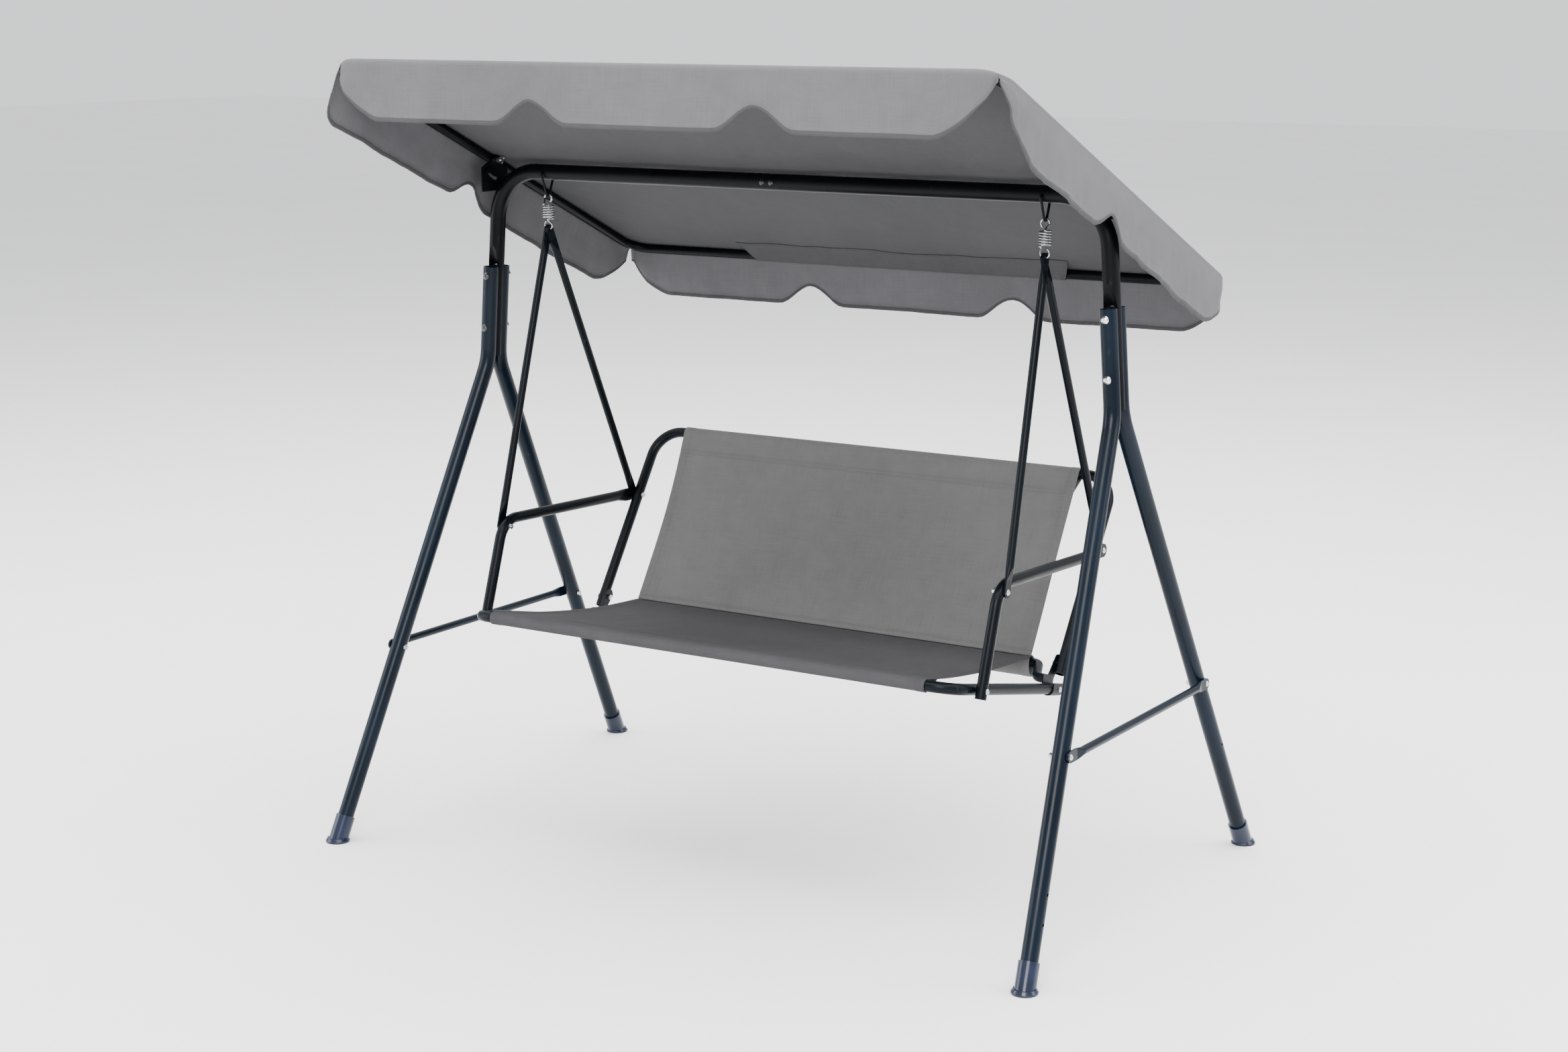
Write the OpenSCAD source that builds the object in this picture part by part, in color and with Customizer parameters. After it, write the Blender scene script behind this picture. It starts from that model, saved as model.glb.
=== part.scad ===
// Garden swing seat: two bolted A-frames, a top bar in two halves, a fabric sling bench hung on two
// springs, and a tilting fabric canopy. Millimetres, +Z up, front towards -Y, origin on the floor
// under the middle of the object.

/* [Leg frames] */
// Distance between the left and right feet, centre to centre
foot_span = 1600; // [1300:10:1900]
// Distance between a front foot and a rear foot, centre to centre
foot_depth = 990; // [800:10:1200]
// Outside diameter of the legs and of the top bar
leg_d = 33; // [28:0.5:40]
// Wall of the legs and of the top bar
leg_wall = 1.5; // [1:0.1:2.5]
// Inward lean of each leg frame, in degrees
leg_lean = 4; // [0:0.5:6]
// Height of the bend in each leg
leg_bend_h = 962; // [850:5:1050]
// Radius of the bend in each leg
leg_bend_r = 110; // [80:5:160]
// Length of the straight top of each leg, above its bend
leg_top_l = 202; // [170:2:260]
// Gap between the front and the rear leg tops
leg_tops_apart = 3; // [2.2:0.2:9]
// Place of the leg tops in front of the middle of the feet
top_forward = 28; // [0:1:60]
// Height of the leg braces
brace_h = 384; // [250:2:500]
// Diameter of the leg braces
brace_d = 16; // [12:0.5:20]

/* [Feet] */
// Wall of a foot's sleeve around the leg
foot_wall = 3.25; // [2.5:0.25:7]
// Length of a foot's sleeve along the leg
foot_sleeve_l = 42; // [30:1:60]
// Width of the flange around a foot's sleeve
foot_rim = 5.25; // [3:0.25:15]

/* [Top bar and springs] */
// Height of the top bar's centre line
bar_h = 1364; // [1300:2:1450]
// Radius of the bends at the ends of the top bar
bar_bend_r = 105; // [90:5:140]
// Distance from the top bar's corner inwards to each spring
spring_in = 126.6; // [110:0.2:170]
// Rod diameter of the hanging links
link_d = 5; // [4:0.2:6]
// Drop from the top bar's centre to the bottom of a hanging link
link_drop = 52; // [44:1:70]
// Outside diameter of the spring coils
spring_d = 25.5; // [22:0.5:32]
// Wire diameter of the springs
spring_wire = 3.6; // [3:0.1:4.5]
// Number of turns in each spring
spring_turns = 6; // [4:1:9]
// Pitch of the spring coils
spring_pitch = 5; // [4.6:0.1:6]

/* [Bench] */
// Distance from each spring inwards to the side rail of the bench
rail_in = 19; // [17:0.5:60]
// Diameter of the seat, back and armrest tubes
seat_tube_d = 22; // [19:0.5:25]
// Wall of the seat, back and armrest tubes
seat_wall = 1.2; // [1:0.1:2]
// Height of the front rail's centre line
seat_front_h = 481; // [440:1:520]
// Height of the side rails' rear ends
seat_rear_h = 386; // [350:1:420]
// Height of the back's top rail
back_top_h = 770; // [700:2:830]
// Length of the back's top rail above the leg frames' centre, to the rear
back_top_y = 344; // [300:2:380]
// Height of the armrests
arm_h = 645; // [600:1:680]
// Diameter of the hangers
hanger_d = 16; // [14:0.5:20]
// Distance from a side rail's centre to the sling's edge, at the front rail
sling_front_in = 54; // [49:1:100]
// Distance from a side rail's centre to the sling's edge, at the fold between seat and back
sling_fold_in = 87; // [70:1:130]
// Thickness of the sling fabric
sling_t = 2; // [1.2:0.1:3]

/* [Canopy] */
// Tilt of the canopy at rest, front edge up, in degrees
canopy_tilt = 24; // [0:1:26]
// Distance from the top bar's corner outwards to the canopy's side tubes
canopy_out = 15.4; // [15.4:0.2:16.4]
// Distance from the pivots to the front tube
canopy_front_l = 512; // [450:2:540]
// Distance from the pivots to the rear tube
canopy_rear_l = 556; // [480:2:580]
// Diameter of the canopy tubes
canopy_d = 19; // [16:0.5:22]
// Depth of the hanging edges of the canopy
valance_h = 106; // [80:1:140]
// Thickness of the canopy fabric
canopy_t = 2.4; // [1.6:0.1:3]
// Width of the tilt plates
tilt_plate_w = 84; // [78:1:100]
// Radius of the slots in the tilt plates
tilt_slot_r = 39; // [34:1:41]
// How far the canopy's front tilts up from rest, in degrees
tilt_up = 6; // [0:1:6]
// How far the canopy's front tilts down from rest, in degrees
tilt_down = 48; // [20:1:48]

/* [Hidden] */
$fn = 48;

PAINT = "#16202b";
ZINC = "#c9ccd0";
PLASTIC = "#101c33";
FABRIC = "#8f8f92";
eps = 0.01;

// Clearances
bore_clear = 0.4;
fit_clear = 0.3;
face_gap = 0.2;
bend_full = 0.08;
run_clear = 0.35;
wing_clear = 0.12;

// Leg frames: every leg lies in a plane that leans inwards about its feet
foot_x = foot_span / 2;
leg_top_gap = leg_d + leg_tops_apart;
foot_sleeve_d = leg_d + 2 * foot_wall;
foot_flange_d = foot_sleeve_d + 2 * foot_rim;
foot_y = foot_depth / 2;
top_y = -top_forward;
leg_r = leg_d / 2;
leg_top_end = leg_bend_h + leg_top_l;
leg_start = 13;
leg_bolt_ws = [leg_bend_h + 72, leg_bend_h + 183];
bolt_d = 8;
small_bolt_d = 6;
front_leg_path = leg_path(-foot_y, top_y - leg_top_gap / 2);
rear_leg_path = leg_path(foot_y, top_y + leg_top_gap / 2);
brace_flat_t = 4;
leg_hole_d = 6;

// Top bar
bar_end_w = leg_bend_h + 12;
bar_corner_x = foot_x - bar_h * tan(leg_lean);
spring_x = bar_corner_x - spring_in;
bar_seam_x = 5;
bar_spigot_l = 70;
bar_press_l = leg_top_end + 4;
link_half = leg_r + link_d / 2 + 4;
link_bottom_z = bar_h - link_drop;
link_rod_z = link_bottom_z + link_d / 2;
link_bend_r = (link_d + spring_wire) / 2 + 1.2;
function link_angle(a, n) =
    n == 0 ? a : link_angle(atan(link_half / (bar_h - link_rod_z + link_bend_r * (1 / sin(a) - 1))), n - 1);
link_half_angle = link_angle(22, 8);
link_corner_z = link_rod_z - link_bend_r * (1 / sin(link_half_angle) - 1);

// Springs
hook_r = 9.2;
hook_top_z = link_rod_z + link_d / 2 + spring_wire / 2 + run_clear + bend_full;
coil_top_z = hook_top_z - 2 * hook_r - spring_wire;
coil_bottom_z = coil_top_z - spring_turns * spring_pitch;
hook_bottom_z = coil_bottom_z - 2 * hook_r - spring_wire;
hanger_hole_r = 4;
hanger_flat_t = 3.5;
hanger_split = hanger_flat_t / 2 + 0.4;
hook_rise = hook_r - sqrt(pow(hook_r, 2) - pow(2 * hanger_split, 2));
hanger_top_z = hook_bottom_z - hanger_hole_r + spring_wire / 2 + hook_rise + run_clear;

// Bench
seat_r = seat_tube_d / 2;
rail_x = spring_x - rail_in;
sling_front_w = 2 * (rail_x - sling_front_in);
sling_fold_w = 2 * (rail_x - sling_fold_in);
seat_front_y = top_y - 303;
seat_rear_y = top_y + 126;
rail_slope = atan2(seat_front_h - seat_rear_h, seat_rear_y - seat_front_y);
post_lower = [top_y + 137, seat_rear_h + 27];
post_upper = [back_top_y, back_top_h];
post_dir = (post_upper - post_lower) / norm(post_upper - post_lower);
arm_x = rail_x + 2 * seat_r + fit_clear;
arm_corner = [top_y - 168, arm_h + 9];
arm_rear_z = arm_h - 7;
arm_rear_y = post_y(arm_rear_z);
arm_low = [top_y - 236, seat_front_h - 31];
arm_flat_t = 5;
rear_hanger_x = rail_x + seat_r + face_gap + hanger_flat_t / 2;
arm_flat_x = rear_hanger_x + hanger_flat_t / 2 + face_gap + arm_flat_t / 2;
front_hanger_x = arm_x + seat_r + face_gap + hanger_flat_t / 2;
arm_bolt = [top_y - 161, arm_h - 5];
rail_bolt = [top_y - 230, rail_z(top_y - 230)];
bracket_bolt = [seat_rear_y - 12, rail_z(seat_rear_y - 12)];
post_bolt_s = 22;
post_bolt = post_lower + post_bolt_s * post_dir;
cheek_t = 2.5;
cheek_in = rail_x - seat_r - face_gap;
cheek_out = rail_x + seat_r + face_gap;
cross_d = 19;
cross_y = top_y + 188;
cross_z = seat_rear_h + 28;
cross_half = sling_fold_w / 2 + 16;
cross_end = [top_y + 116, seat_rear_h + 20];
cross_pocket_in = cross_d + bore_clear;
fold = [cross_y, cross_z] + (cross_pocket_in / 2 + 1.5 * sling_t + fit_clear) * [cos(115), sin(115)];

// Canopy, in its own frame: origin on the pivots, x to the right, y to the rear, z up
pivot_y = top_y - 7;
pivot_z = bar_h + 22;
canopy_x = bar_corner_x + canopy_out;
canopy_r = canopy_d / 2;
corner_r = 45;
bracket_t = 3;
canopy_in_x = canopy_x - canopy_r - face_gap - bracket_t;
tilt_plate_t = 3;
tilt_plate_x = canopy_in_x - run_clear - tilt_plate_t;
tilt_plate_h = 64;
tilt_post_d = leg_d - 4;
tilt_post_top = 50;
pivot_bolt_d = 6;
stud_d = 6;
slot_w = stud_d + 1;
stud_angle = 212;
slot_from = stud_angle - tilt_up - 2.5;
slot_to = stud_angle + tilt_down + 2.5;
fabric_over = canopy_r + fit_clear;
// What turns at the pivots stays under the fabric sheet
tilt_top_r = fabric_over - 0.5;
tilt_front = 0.62 * tilt_plate_w;
tilt_shoulder = 1 + max((tilt_front * sin(tilt_down - canopy_tilt) - tilt_top_r) / cos(tilt_down - canopy_tilt),
    ((tilt_plate_w - tilt_front) * sin(canopy_tilt + tilt_up) - tilt_top_r) / cos(canopy_tilt + tilt_up));
fabric_front = canopy_front_l
    + ((canopy_r + fit_clear) * (1 + sin(canopy_tilt)) + 1.4 * canopy_t) / cos(canopy_tilt);
fabric_rear = canopy_rear_l + canopy_r + fit_clear + canopy_t;
fabric_side_gap = 4.5;
fabric_x = canopy_x + canopy_r + fabric_side_gap + canopy_t;
notch_w = 156;
notch_h = 44;
corner_cut = 110;

function unit(v) = v / norm(v);
function leg_path(y_foot, y_top) =
    let (up = [y_top - y_foot, leg_bend_h], s = leg_start / norm(up))
    [[0, y_foot + up[0] * s, up[1] * s], [0, y_top, leg_bend_h], [0, y_top, leg_top_end]];
function leg_y(path, w) =
    path[0][1] + (path[1][1] - path[0][1]) * (w - path[0][2]) / (path[1][2] - path[0][2]);
function lean_x(w) = foot_x - w * sin(leg_lean);
function rail_z(y) =
    seat_front_h + (seat_rear_h - seat_front_h) * (y - seat_front_y) / (seat_rear_y - seat_front_y);
function post_y(z) =
    post_lower[0] + (post_upper[0] - post_lower[0]) * (z - post_lower[1]) / (post_upper[1] - post_lower[1]);

// Right-hand side as modelled, or its mirror image
module side(s) {
    if (s > 0) children();
    else mirror([1, 0, 0]) children();
}

// Frame of one leaning leg plane: y stays, z runs up along the plane
module leg_plane() {
    translate([foot_x, 0, 0]) rotate([0, -leg_lean, 0]) children();
}

// Frame whose z axis runs from p towards q and whose x axis stays near the world's x axis
module along(p, q) {
    z = unit(q - p);
    x = unit([1, 0, 0] - z[0] * z);
    y = cross(z, x);
    multmatrix([[x[0], y[0], z[0], p[0]], [x[1], y[1], z[1], p[1]], [x[2], y[2], z[2], p[2]], [0, 0, 0, 1]])
        children();
}

// Straight run of tube, or of rod when wall is 0
module straight(p, q, d, wall) {
    v = q - p;
    translate(p) rotate([0, acos(v[2] / norm(v)), atan2(v[1], v[0])])
        linear_extrude(norm(v)) ring(d, wall);
}

module ring(d, wall) {
    difference() {
        circle(d = d);
        if (wall > 0) circle(d = d - 2 * wall);
    }
}

// Frame of a bend of radius r that turns from direction a to direction b at corner p
module bend_frame(p, a, b, r) {
    c = p + (b - a) / norm(b - a) * (r / cos(acos(a * b) / 2));
    x = unit(p - a * (r * tan(acos(a * b) / 2)) - c);
    z = cross(x, a);
    multmatrix([[x[0], a[0], z[0], c[0]], [x[1], a[1], z[1], c[1]], [x[2], a[2], z[2], c[2]], [0, 0, 0, 1]])
        children();
}

// Bent tube through the points pts, with the same bend radius r at each inner point; the bends are
// a shade fuller than the straight runs, whose ends sit inside them
module tube(pts, r, d, wall) {
    n = len(pts);
    dirs = [for (i = [0 : n - 2]) unit(pts[i + 1] - pts[i])];
    sink = min(0.8, 0.1 * (r - d / 2));
    cut = [for (i = [0 : n - 1]) (i == 0 || i == n - 1) ? 0 : r * tan(acos(dirs[i - 1] * dirs[i]) / 2) - sink];
    for (i = [0 : n - 2])
        straight(pts[i] + dirs[i] * cut[i], pts[i + 1] - dirs[i] * cut[i + 1], d, wall);
    for (i = [1 : n - 2])
        bend_frame(pts[i], dirs[i - 1], dirs[i], r)
            rotate_extrude(angle = acos(dirs[i - 1] * dirs[i])) translate([r, 0]) difference() {
                circle(d = d + 2 * bend_full);
                if (wall > 0) circle(d = d - 2 * wall - 2 * bend_full);
            }
}

// Rod along x from x0 to x1 through the point [y, z]
module x_rod(yz, x0, x1, d) {
    translate([x0, yz[0], yz[1]]) rotate([0, 90, 0]) cylinder(d = d, h = x1 - x0);
}

// Bolt head on a shank that points along +z from the head's seat at z = 0
module dome_bolt(d, l) {
    cylinder(d = d, h = l);
    intersection() {
        translate([0, 0, d * 0.55]) sphere(r = d * 1.15);
        translate([0, 0, -d]) cylinder(d = 1.95 * d, h = d);
    }
}

module hex_nut(d) {
    difference() {
        cylinder(d = 1.9 * d, h = 0.8 * d, $fn = 6);
        translate([0, 0, -1]) cylinder(d = d + bore_clear, h = d + 2);
    }
}

// Bolt along +x whose head sits on the outer side x1; its nut sits on the inner side x0
module x_bolt(yz, x0, x1, d) {
    translate([x1, yz[0], yz[1]]) rotate([0, -90, 0]) dome_bolt(d, x1 - x0 + 0.8 * d + 2);
}

module x_nut(yz, x0, d) {
    translate([x0, yz[0], yz[1]]) rotate([0, -90, 0]) hex_nut(d);
}

// ---------- Leg frames ----------

module leg(path, out) {
    difference() {
        leg_plane() tube(path, leg_bend_r, leg_d, leg_wall);
        leg_plane() {
            for (w = leg_bolt_ws)
                translate([0, top_y - 60, w]) rotate([-90, 0, 0]) cylinder(d = bolt_d + bore_clear, h = 120);
            w_brace = brace_h / cos(leg_lean);
            x_rod([leg_y(path, w_brace), w_brace], -leg_d, leg_d, small_bolt_d + bore_clear);
            for (w = out) x_rod([leg_y(path, w), w], 0, leg_d, leg_hole_d);
        }
    }
}

module left_front_leg() { color(PAINT) side(-1) leg(front_leg_path, [110, 159]); }
module right_front_leg() { color(PAINT) side(1) leg(front_leg_path, [110, 159]); }
module left_rear_leg() { color(PAINT) side(-1) leg(rear_leg_path, [243]); }
module right_rear_leg() { color(PAINT) side(1) leg(rear_leg_path, [243]); }

// Plastic cap: a sleeve that leans with the leg on a flange that lies flat on the floor
module foot(path) {
    difference() {
        union() {
            intersection() {
                leg_plane() along(path[0], path[1])
                    translate([0, 0, -2 * leg_start]) cylinder(d = foot_sleeve_d, h = foot_sleeve_l + 2 * leg_start);
                translate([foot_x - 100, path[0][1] - 100, 0]) cube([200, 200, 200]);
            }
            translate([foot_x, leg_y(path, 0), 0]) rotate_extrude()
                polygon([[0, 0], [foot_flange_d / 2, 0], [foot_flange_d / 2, 3.5], [foot_sleeve_d / 2 + 1.5, 9],
                         [0, 9]]);
        }
        leg_plane() along(path[0], path[1])
            translate([0, 0, -0.1]) cylinder(d = leg_d + fit_clear, h = foot_sleeve_l + 20);
    }
}

module left_front_foot() { color(PLASTIC) side(-1) foot(front_leg_path); }
module right_front_foot() { color(PLASTIC) side(1) foot(front_leg_path); }
module left_rear_foot() { color(PLASTIC) side(-1) foot(rear_leg_path); }
module right_rear_foot() { color(PLASTIC) side(1) foot(rear_leg_path); }

// Round tube pressed flat at both ends, with a bolt hole in each; p and q are the hole centres
module flat_ended_tube(p, q, d, flat_t, hole_d, flat_l, blend_l) {
    l = norm(q - p);
    flat_w = d * 1.36;
    difference() {
        along(p, q) {
            translate([0, 0, flat_l + blend_l]) linear_extrude(l - 2 * (flat_l + blend_l)) ring(d, 1.2);
            for (k = [0, 1]) translate([0, 0, k * l]) rotate([k * 180, 0, 0]) {
                rotate([0, 90, 0]) translate([0, 0, -flat_t / 2]) cylinder(d = flat_w, h = flat_t);
                translate([-flat_t / 2, -flat_w / 2, 0]) cube([flat_t, flat_w, flat_l]);
                hull() {
                    translate([-flat_t / 2, -flat_w / 2, flat_l]) cube([flat_t, flat_w, eps]);
                    translate([0, 0, flat_l + blend_l + 0.5]) cylinder(d = d + 0.3, h = eps, $fn = 32);
                }
            }
        }
        along(p, q) for (z = [0, l])
            translate([-d, 0, z]) rotate([0, 90, 0]) cylinder(d = hole_d, h = 2 * d);
    }
}

module leg_brace() {
    w = brace_h / cos(leg_lean);
    x = leg_r + face_gap + brace_flat_t / 2;
    leg_plane() flat_ended_tube([x, leg_y(front_leg_path, w), w], [x, leg_y(rear_leg_path, w), w],
                                brace_d, brace_flat_t, small_bolt_d + bore_clear, 26, 22);
}

module left_leg_brace() { color(PAINT) side(-1) leg_brace(); }
module right_leg_brace() { color(PAINT) side(1) leg_brace(); }

module leg_bolts() {
    color(ZINC) for (s = [-1, 1]) side(s) leg_plane() for (w = leg_bolt_ws)
        translate([0, top_y - leg_top_gap / 2 - leg_r, w]) rotate([-90, 0, 0])
            dome_bolt(bolt_d, leg_top_gap + leg_d + 0.8 * bolt_d + 2);
}

module leg_nuts() {
    color(ZINC) for (s = [-1, 1]) side(s) leg_plane() for (w = leg_bolt_ws)
        translate([0, top_y + leg_top_gap / 2 + leg_r, w]) rotate([-90, 0, 0]) hex_nut(bolt_d);
}

brace_out = leg_r + face_gap + brace_flat_t;

module brace_bolts() {
    w = brace_h / cos(leg_lean);
    color(ZINC) for (s = [-1, 1]) side(s) leg_plane() for (path = [front_leg_path, rear_leg_path])
        x_bolt([leg_y(path, w), w], -leg_r, brace_out, small_bolt_d);
}

module brace_nuts() {
    w = brace_h / cos(leg_lean);
    color(ZINC) for (s = [-1, 1]) side(s) leg_plane() for (path = [front_leg_path, rear_leg_path])
        x_nut([leg_y(path, w), w], -leg_r, small_bolt_d);
}

// ---------- Top bar ----------

// End of the bar between the leg tops: solid, with a groove pressed into its front and its back
module bar_end() {
    leg_plane() difference() {
        translate([0, top_y, bar_end_w]) cylinder(d = leg_d + 2 * bend_full, h = bar_press_l + 60.8 - bar_end_w);
        for (k = [-1, 1]) {
            groove_d = leg_d + 2 * fit_clear;
            translate([0, top_y + k * leg_top_gap / 2, bar_end_w - 1])
                cylinder(d = groove_d, h = bar_press_l - bar_end_w + 1);
            translate([0, top_y + k * leg_top_gap / 2, bar_press_l])
                rotate([-k * 22, 0, 0]) translate([0, 0, -8]) cylinder(d = groove_d, h = 80);
        }
    }
}

module bar_half(seam) {
    low = bar_press_l + 60;
    difference() {
        union() {
            tube([[lean_x(low), top_y, low * cos(leg_lean)], [bar_corner_x, top_y, bar_h],
                  [seam, top_y, bar_h]], bar_bend_r, leg_d, leg_wall);
            bar_end();
        }
        leg_plane() for (w = leg_bolt_ws)
            translate([0, top_y - 60, w]) rotate([-90, 0, 0]) cylinder(d = bolt_d + bore_clear, h = 120);
        translate([spring_x, top_y - 40, bar_h]) rotate([-90, 0, 0]) cylinder(d = link_d + 1, h = 80);
    }
}

joint_bolt_xs = [bar_seam_x - 22, bar_seam_x - 43];

module joint_bores() {
    for (x = joint_bolt_xs)
        translate([x, top_y - 40, bar_h]) rotate([-90, 0, 0]) cylinder(d = small_bolt_d + bore_clear, h = 80);
}

module top_bar_right() {
    color(PAINT) difference() {
        union() {
            bar_half(bar_seam_x);
            translate([bar_seam_x - bar_spigot_l, top_y, bar_h]) rotate([0, 90, 0])
                linear_extrude(bar_spigot_l + 20) ring(leg_d - 2 * leg_wall - fit_clear, leg_wall);
            translate([bar_seam_x + 1, top_y, bar_h]) rotate([0, 90, 0])
                linear_extrude(18) ring(leg_d - 2 * leg_wall + fit_clear, leg_wall);
        }
        joint_bores();
    }
}

module top_bar_left() {
    color(PAINT) difference() {
        mirror([1, 0, 0]) bar_half(face_gap - bar_seam_x);
        joint_bores();
    }
}

module bar_joint_bolts() {
    color(ZINC) for (x = joint_bolt_xs) translate([x, top_y - leg_r, bar_h]) rotate([-90, 0, 0])
        dome_bolt(small_bolt_d, leg_d + 4);
}

// Wire stirrup: a rod through the bar whose two legs meet below it
module hanging_link() {
    translate([spring_x, top_y, 0])
        tube([[0, 0, bar_h], [0, link_half, bar_h], [0, 0, link_corner_z], [0, -link_half, bar_h], [0, -2, bar_h]],
             link_bend_r, link_d, 0);
}

module left_hanging_link() { color(PAINT) side(-1) hanging_link(); }
module right_hanging_link() { color(PAINT) side(1) hanging_link(); }

// ---------- Springs ----------

hook_seat = 5.6;
hook_seat_a = asin(hook_seat / 2 / hook_r) * 0.8;
function hook_points(cz, a0, a1, n) =
    [for (i = [0 : n]) let (a = a0 + (a1 - a0) * i / n) [hook_r * sin(a), 0, cz + hook_r * cos(a)]];
coil_r = (spring_d - spring_wire) / 2;
turn_steps = 16;
function coil_points() =
    [for (i = [0 : spring_turns * turn_steps])
        let (a = 360 * i / turn_steps, z = coil_top_z - spring_pitch * i / turn_steps)
        [coil_r * sin(a), -coil_r * cos(a), z]];
function spring_path() = concat(
    hook_points(hook_top_z - hook_r, -150, -hook_seat_a, 8),
    hook_points(hook_top_z - hook_r, hook_seat_a, 100, 6),
    [[hook_r * 0.75, -coil_r * 0.3, hook_top_z - 1.75 * hook_r], [coil_r * 0.1, -coil_r * 0.86, coil_top_z + 1.2]],
    [for (i = [1 : spring_turns * turn_steps - 1]) coil_points()[i]],
    [[-coil_r * 0.1, -coil_r * 0.86, coil_bottom_z - 1.2],
     [-hook_r * 0.75, -coil_r * 0.3, hook_bottom_z + 1.75 * hook_r]],
    hook_points(hook_bottom_z + hook_r, -80, -330, 14));

// Round wire of diameter d swept along a list of points, closed at both ends
module wire(pts, d, sides) {
    n = len(pts);
    t = [for (i = [0 : n - 1]) unit(pts[min(i + 1, n - 1)] - pts[max(i - 1, 0)])];
    start = unit(cross(t[0], [0, 1, 0.01]));
    normals = [for (i = 0, v = start; i < n; i = i + 1,
                    v = i < n ? unit(v - (v * t[i]) * t[i]) : v) v];
    points = [for (i = [0 : n - 1]) let (u = normals[i], w = cross(t[i], u))
        for (k = [0 : sides - 1]) pts[i] + d / 2 * (cos(360 * k / sides) * u + sin(360 * k / sides) * w)];
    walls = [for (i = [0 : n - 2]) for (k = [0 : sides - 1])
        [i * sides + k, (i + 1) * sides + k, (i + 1) * sides + (k + 1) % sides, i * sides + (k + 1) % sides]];
    ends = [[for (k = [0 : sides - 1]) k], [for (k = [sides - 1 : -1 : 0]) (n - 1) * sides + k]];
    polyhedron(points, concat(walls, ends));
}

module spring() {
    translate([spring_x, top_y, 0]) {
        wire(spring_path(), spring_wire, 8);
        // Straight seat of the upper hook, on the pivot line
        x_rod([0, hook_top_z], -hook_seat / 2, hook_seat / 2, spring_wire + 2 * bend_full);
    }
}

module left_spring() { color(ZINC) side(-1) spring(); }
module right_spring() { color(ZINC) side(1) spring(); }

// ---------- Bench ----------

module front_hanger() {
    flat_ended_tube([front_hanger_x, arm_bolt[0], arm_bolt[1]], [spring_x + hanger_split, top_y, hanger_top_z],
                    hanger_d, hanger_flat_t, 2 * hanger_hole_r, 22, 26);
}

module rear_hanger() {
    flat_ended_tube([rear_hanger_x, arm_rear_y, arm_rear_z], [spring_x - hanger_split, top_y, hanger_top_z],
                    hanger_d, hanger_flat_t, 2 * hanger_hole_r, 22, 26);
}

module left_front_hanger() { color(PAINT) side(-1) front_hanger(); }
module right_front_hanger() { color(PAINT) side(1) front_hanger(); }
module left_rear_hanger() { color(PAINT) side(-1) rear_hanger(); }
module right_rear_hanger() { color(PAINT) side(1) rear_hanger(); }

// One bent tube: front post, bend and rail, pressed flat at its rear end
module armrest() {
    flat_l = 26;
    blend_l = 24;
    flat_w = 27;
    rail_end_y = arm_rear_y - flat_l - blend_l;
    rail_end = [arm_x, rail_end_y, arm_rear_z + (arm_corner[1] - arm_rear_z) * (arm_rear_y - rail_end_y)
                                   / (arm_rear_y - arm_corner[0])];
    flat_end = [arm_flat_x, arm_rear_y, arm_rear_z];
    flat_start = flat_end + (rail_end - [arm_x - arm_flat_x, 0, 0] - flat_end) * (flat_l / (flat_l + blend_l));
    difference() {
        union() {
            tube([[arm_x, arm_low[0], arm_low[1]], [arm_x, arm_corner[0], arm_corner[1]], rail_end],
                 55, seat_tube_d, seat_wall);
            hull() {
                along(rail_end - [0, 0.6, 0], rail_end) cylinder(d = seat_tube_d + 0.3, h = eps, $fn = 32);
                along(flat_start, flat_end) translate([-arm_flat_t / 2 - 0.1, -flat_w / 2 - 0.1, 0])
                    cube([arm_flat_t + 0.2, flat_w + 0.2, eps]);
            }
            along(flat_start, flat_end) {
                translate([-arm_flat_t / 2, -flat_w / 2, -0.4])
                    cube([arm_flat_t, flat_w, norm(flat_end - flat_start) + 0.4]);
                translate([0, 0, norm(flat_end - flat_start)]) rotate([0, 90, 0])
                    translate([0, 0, -arm_flat_t / 2]) cylinder(d = flat_w, h = arm_flat_t);
            }
        }
        for (b = [arm_bolt, rail_bolt, [arm_rear_y, arm_rear_z]])
            x_rod(b, arm_x - 30, arm_x + 30, small_bolt_d + bore_clear);
    }
}

module left_armrest() { color(PAINT) side(-1) armrest(); }
module right_armrest() { color(PAINT) side(1) armrest(); }

module seat_frame() {
    color(PAINT) difference() {
        tube([[rail_x, seat_rear_y, seat_rear_h], [rail_x, seat_front_y, seat_front_h],
              [-rail_x, seat_front_y, seat_front_h], [-rail_x, seat_rear_y, seat_rear_h]],
             48, seat_tube_d, seat_wall);
        for (b = [rail_bolt, bracket_bolt]) x_rod(b, -rail_x - 30, rail_x + 30, small_bolt_d + bore_clear);
    }
}

module back_frame() {
    color(PAINT) difference() {
        tube([[rail_x, post_lower[0], post_lower[1]], [rail_x, post_upper[0], post_upper[1]],
              [-rail_x, post_upper[0], post_upper[1]], [-rail_x, post_lower[0], post_lower[1]]],
             62, seat_tube_d, seat_wall);
        for (b = [post_bolt, [arm_rear_y, arm_rear_z]])
            x_rod(b, -rail_x - 30, rail_x + 30, small_bolt_d + bore_clear);
    }
}

module seat_cross_tube() {
    x_end = cheek_in - cheek_t - face_gap;
    color(PAINT) tube([[x_end, cross_end[0], cross_end[1]], [x_end - 26, cross_end[0], cross_end[1]],
                       [cross_half, cross_y, cross_z], [-cross_half, cross_y, cross_z],
                       [-x_end + 26, cross_end[0], cross_end[1]], [-x_end, cross_end[0], cross_end[1]]],
                      20, cross_d, seat_wall);
}

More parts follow.
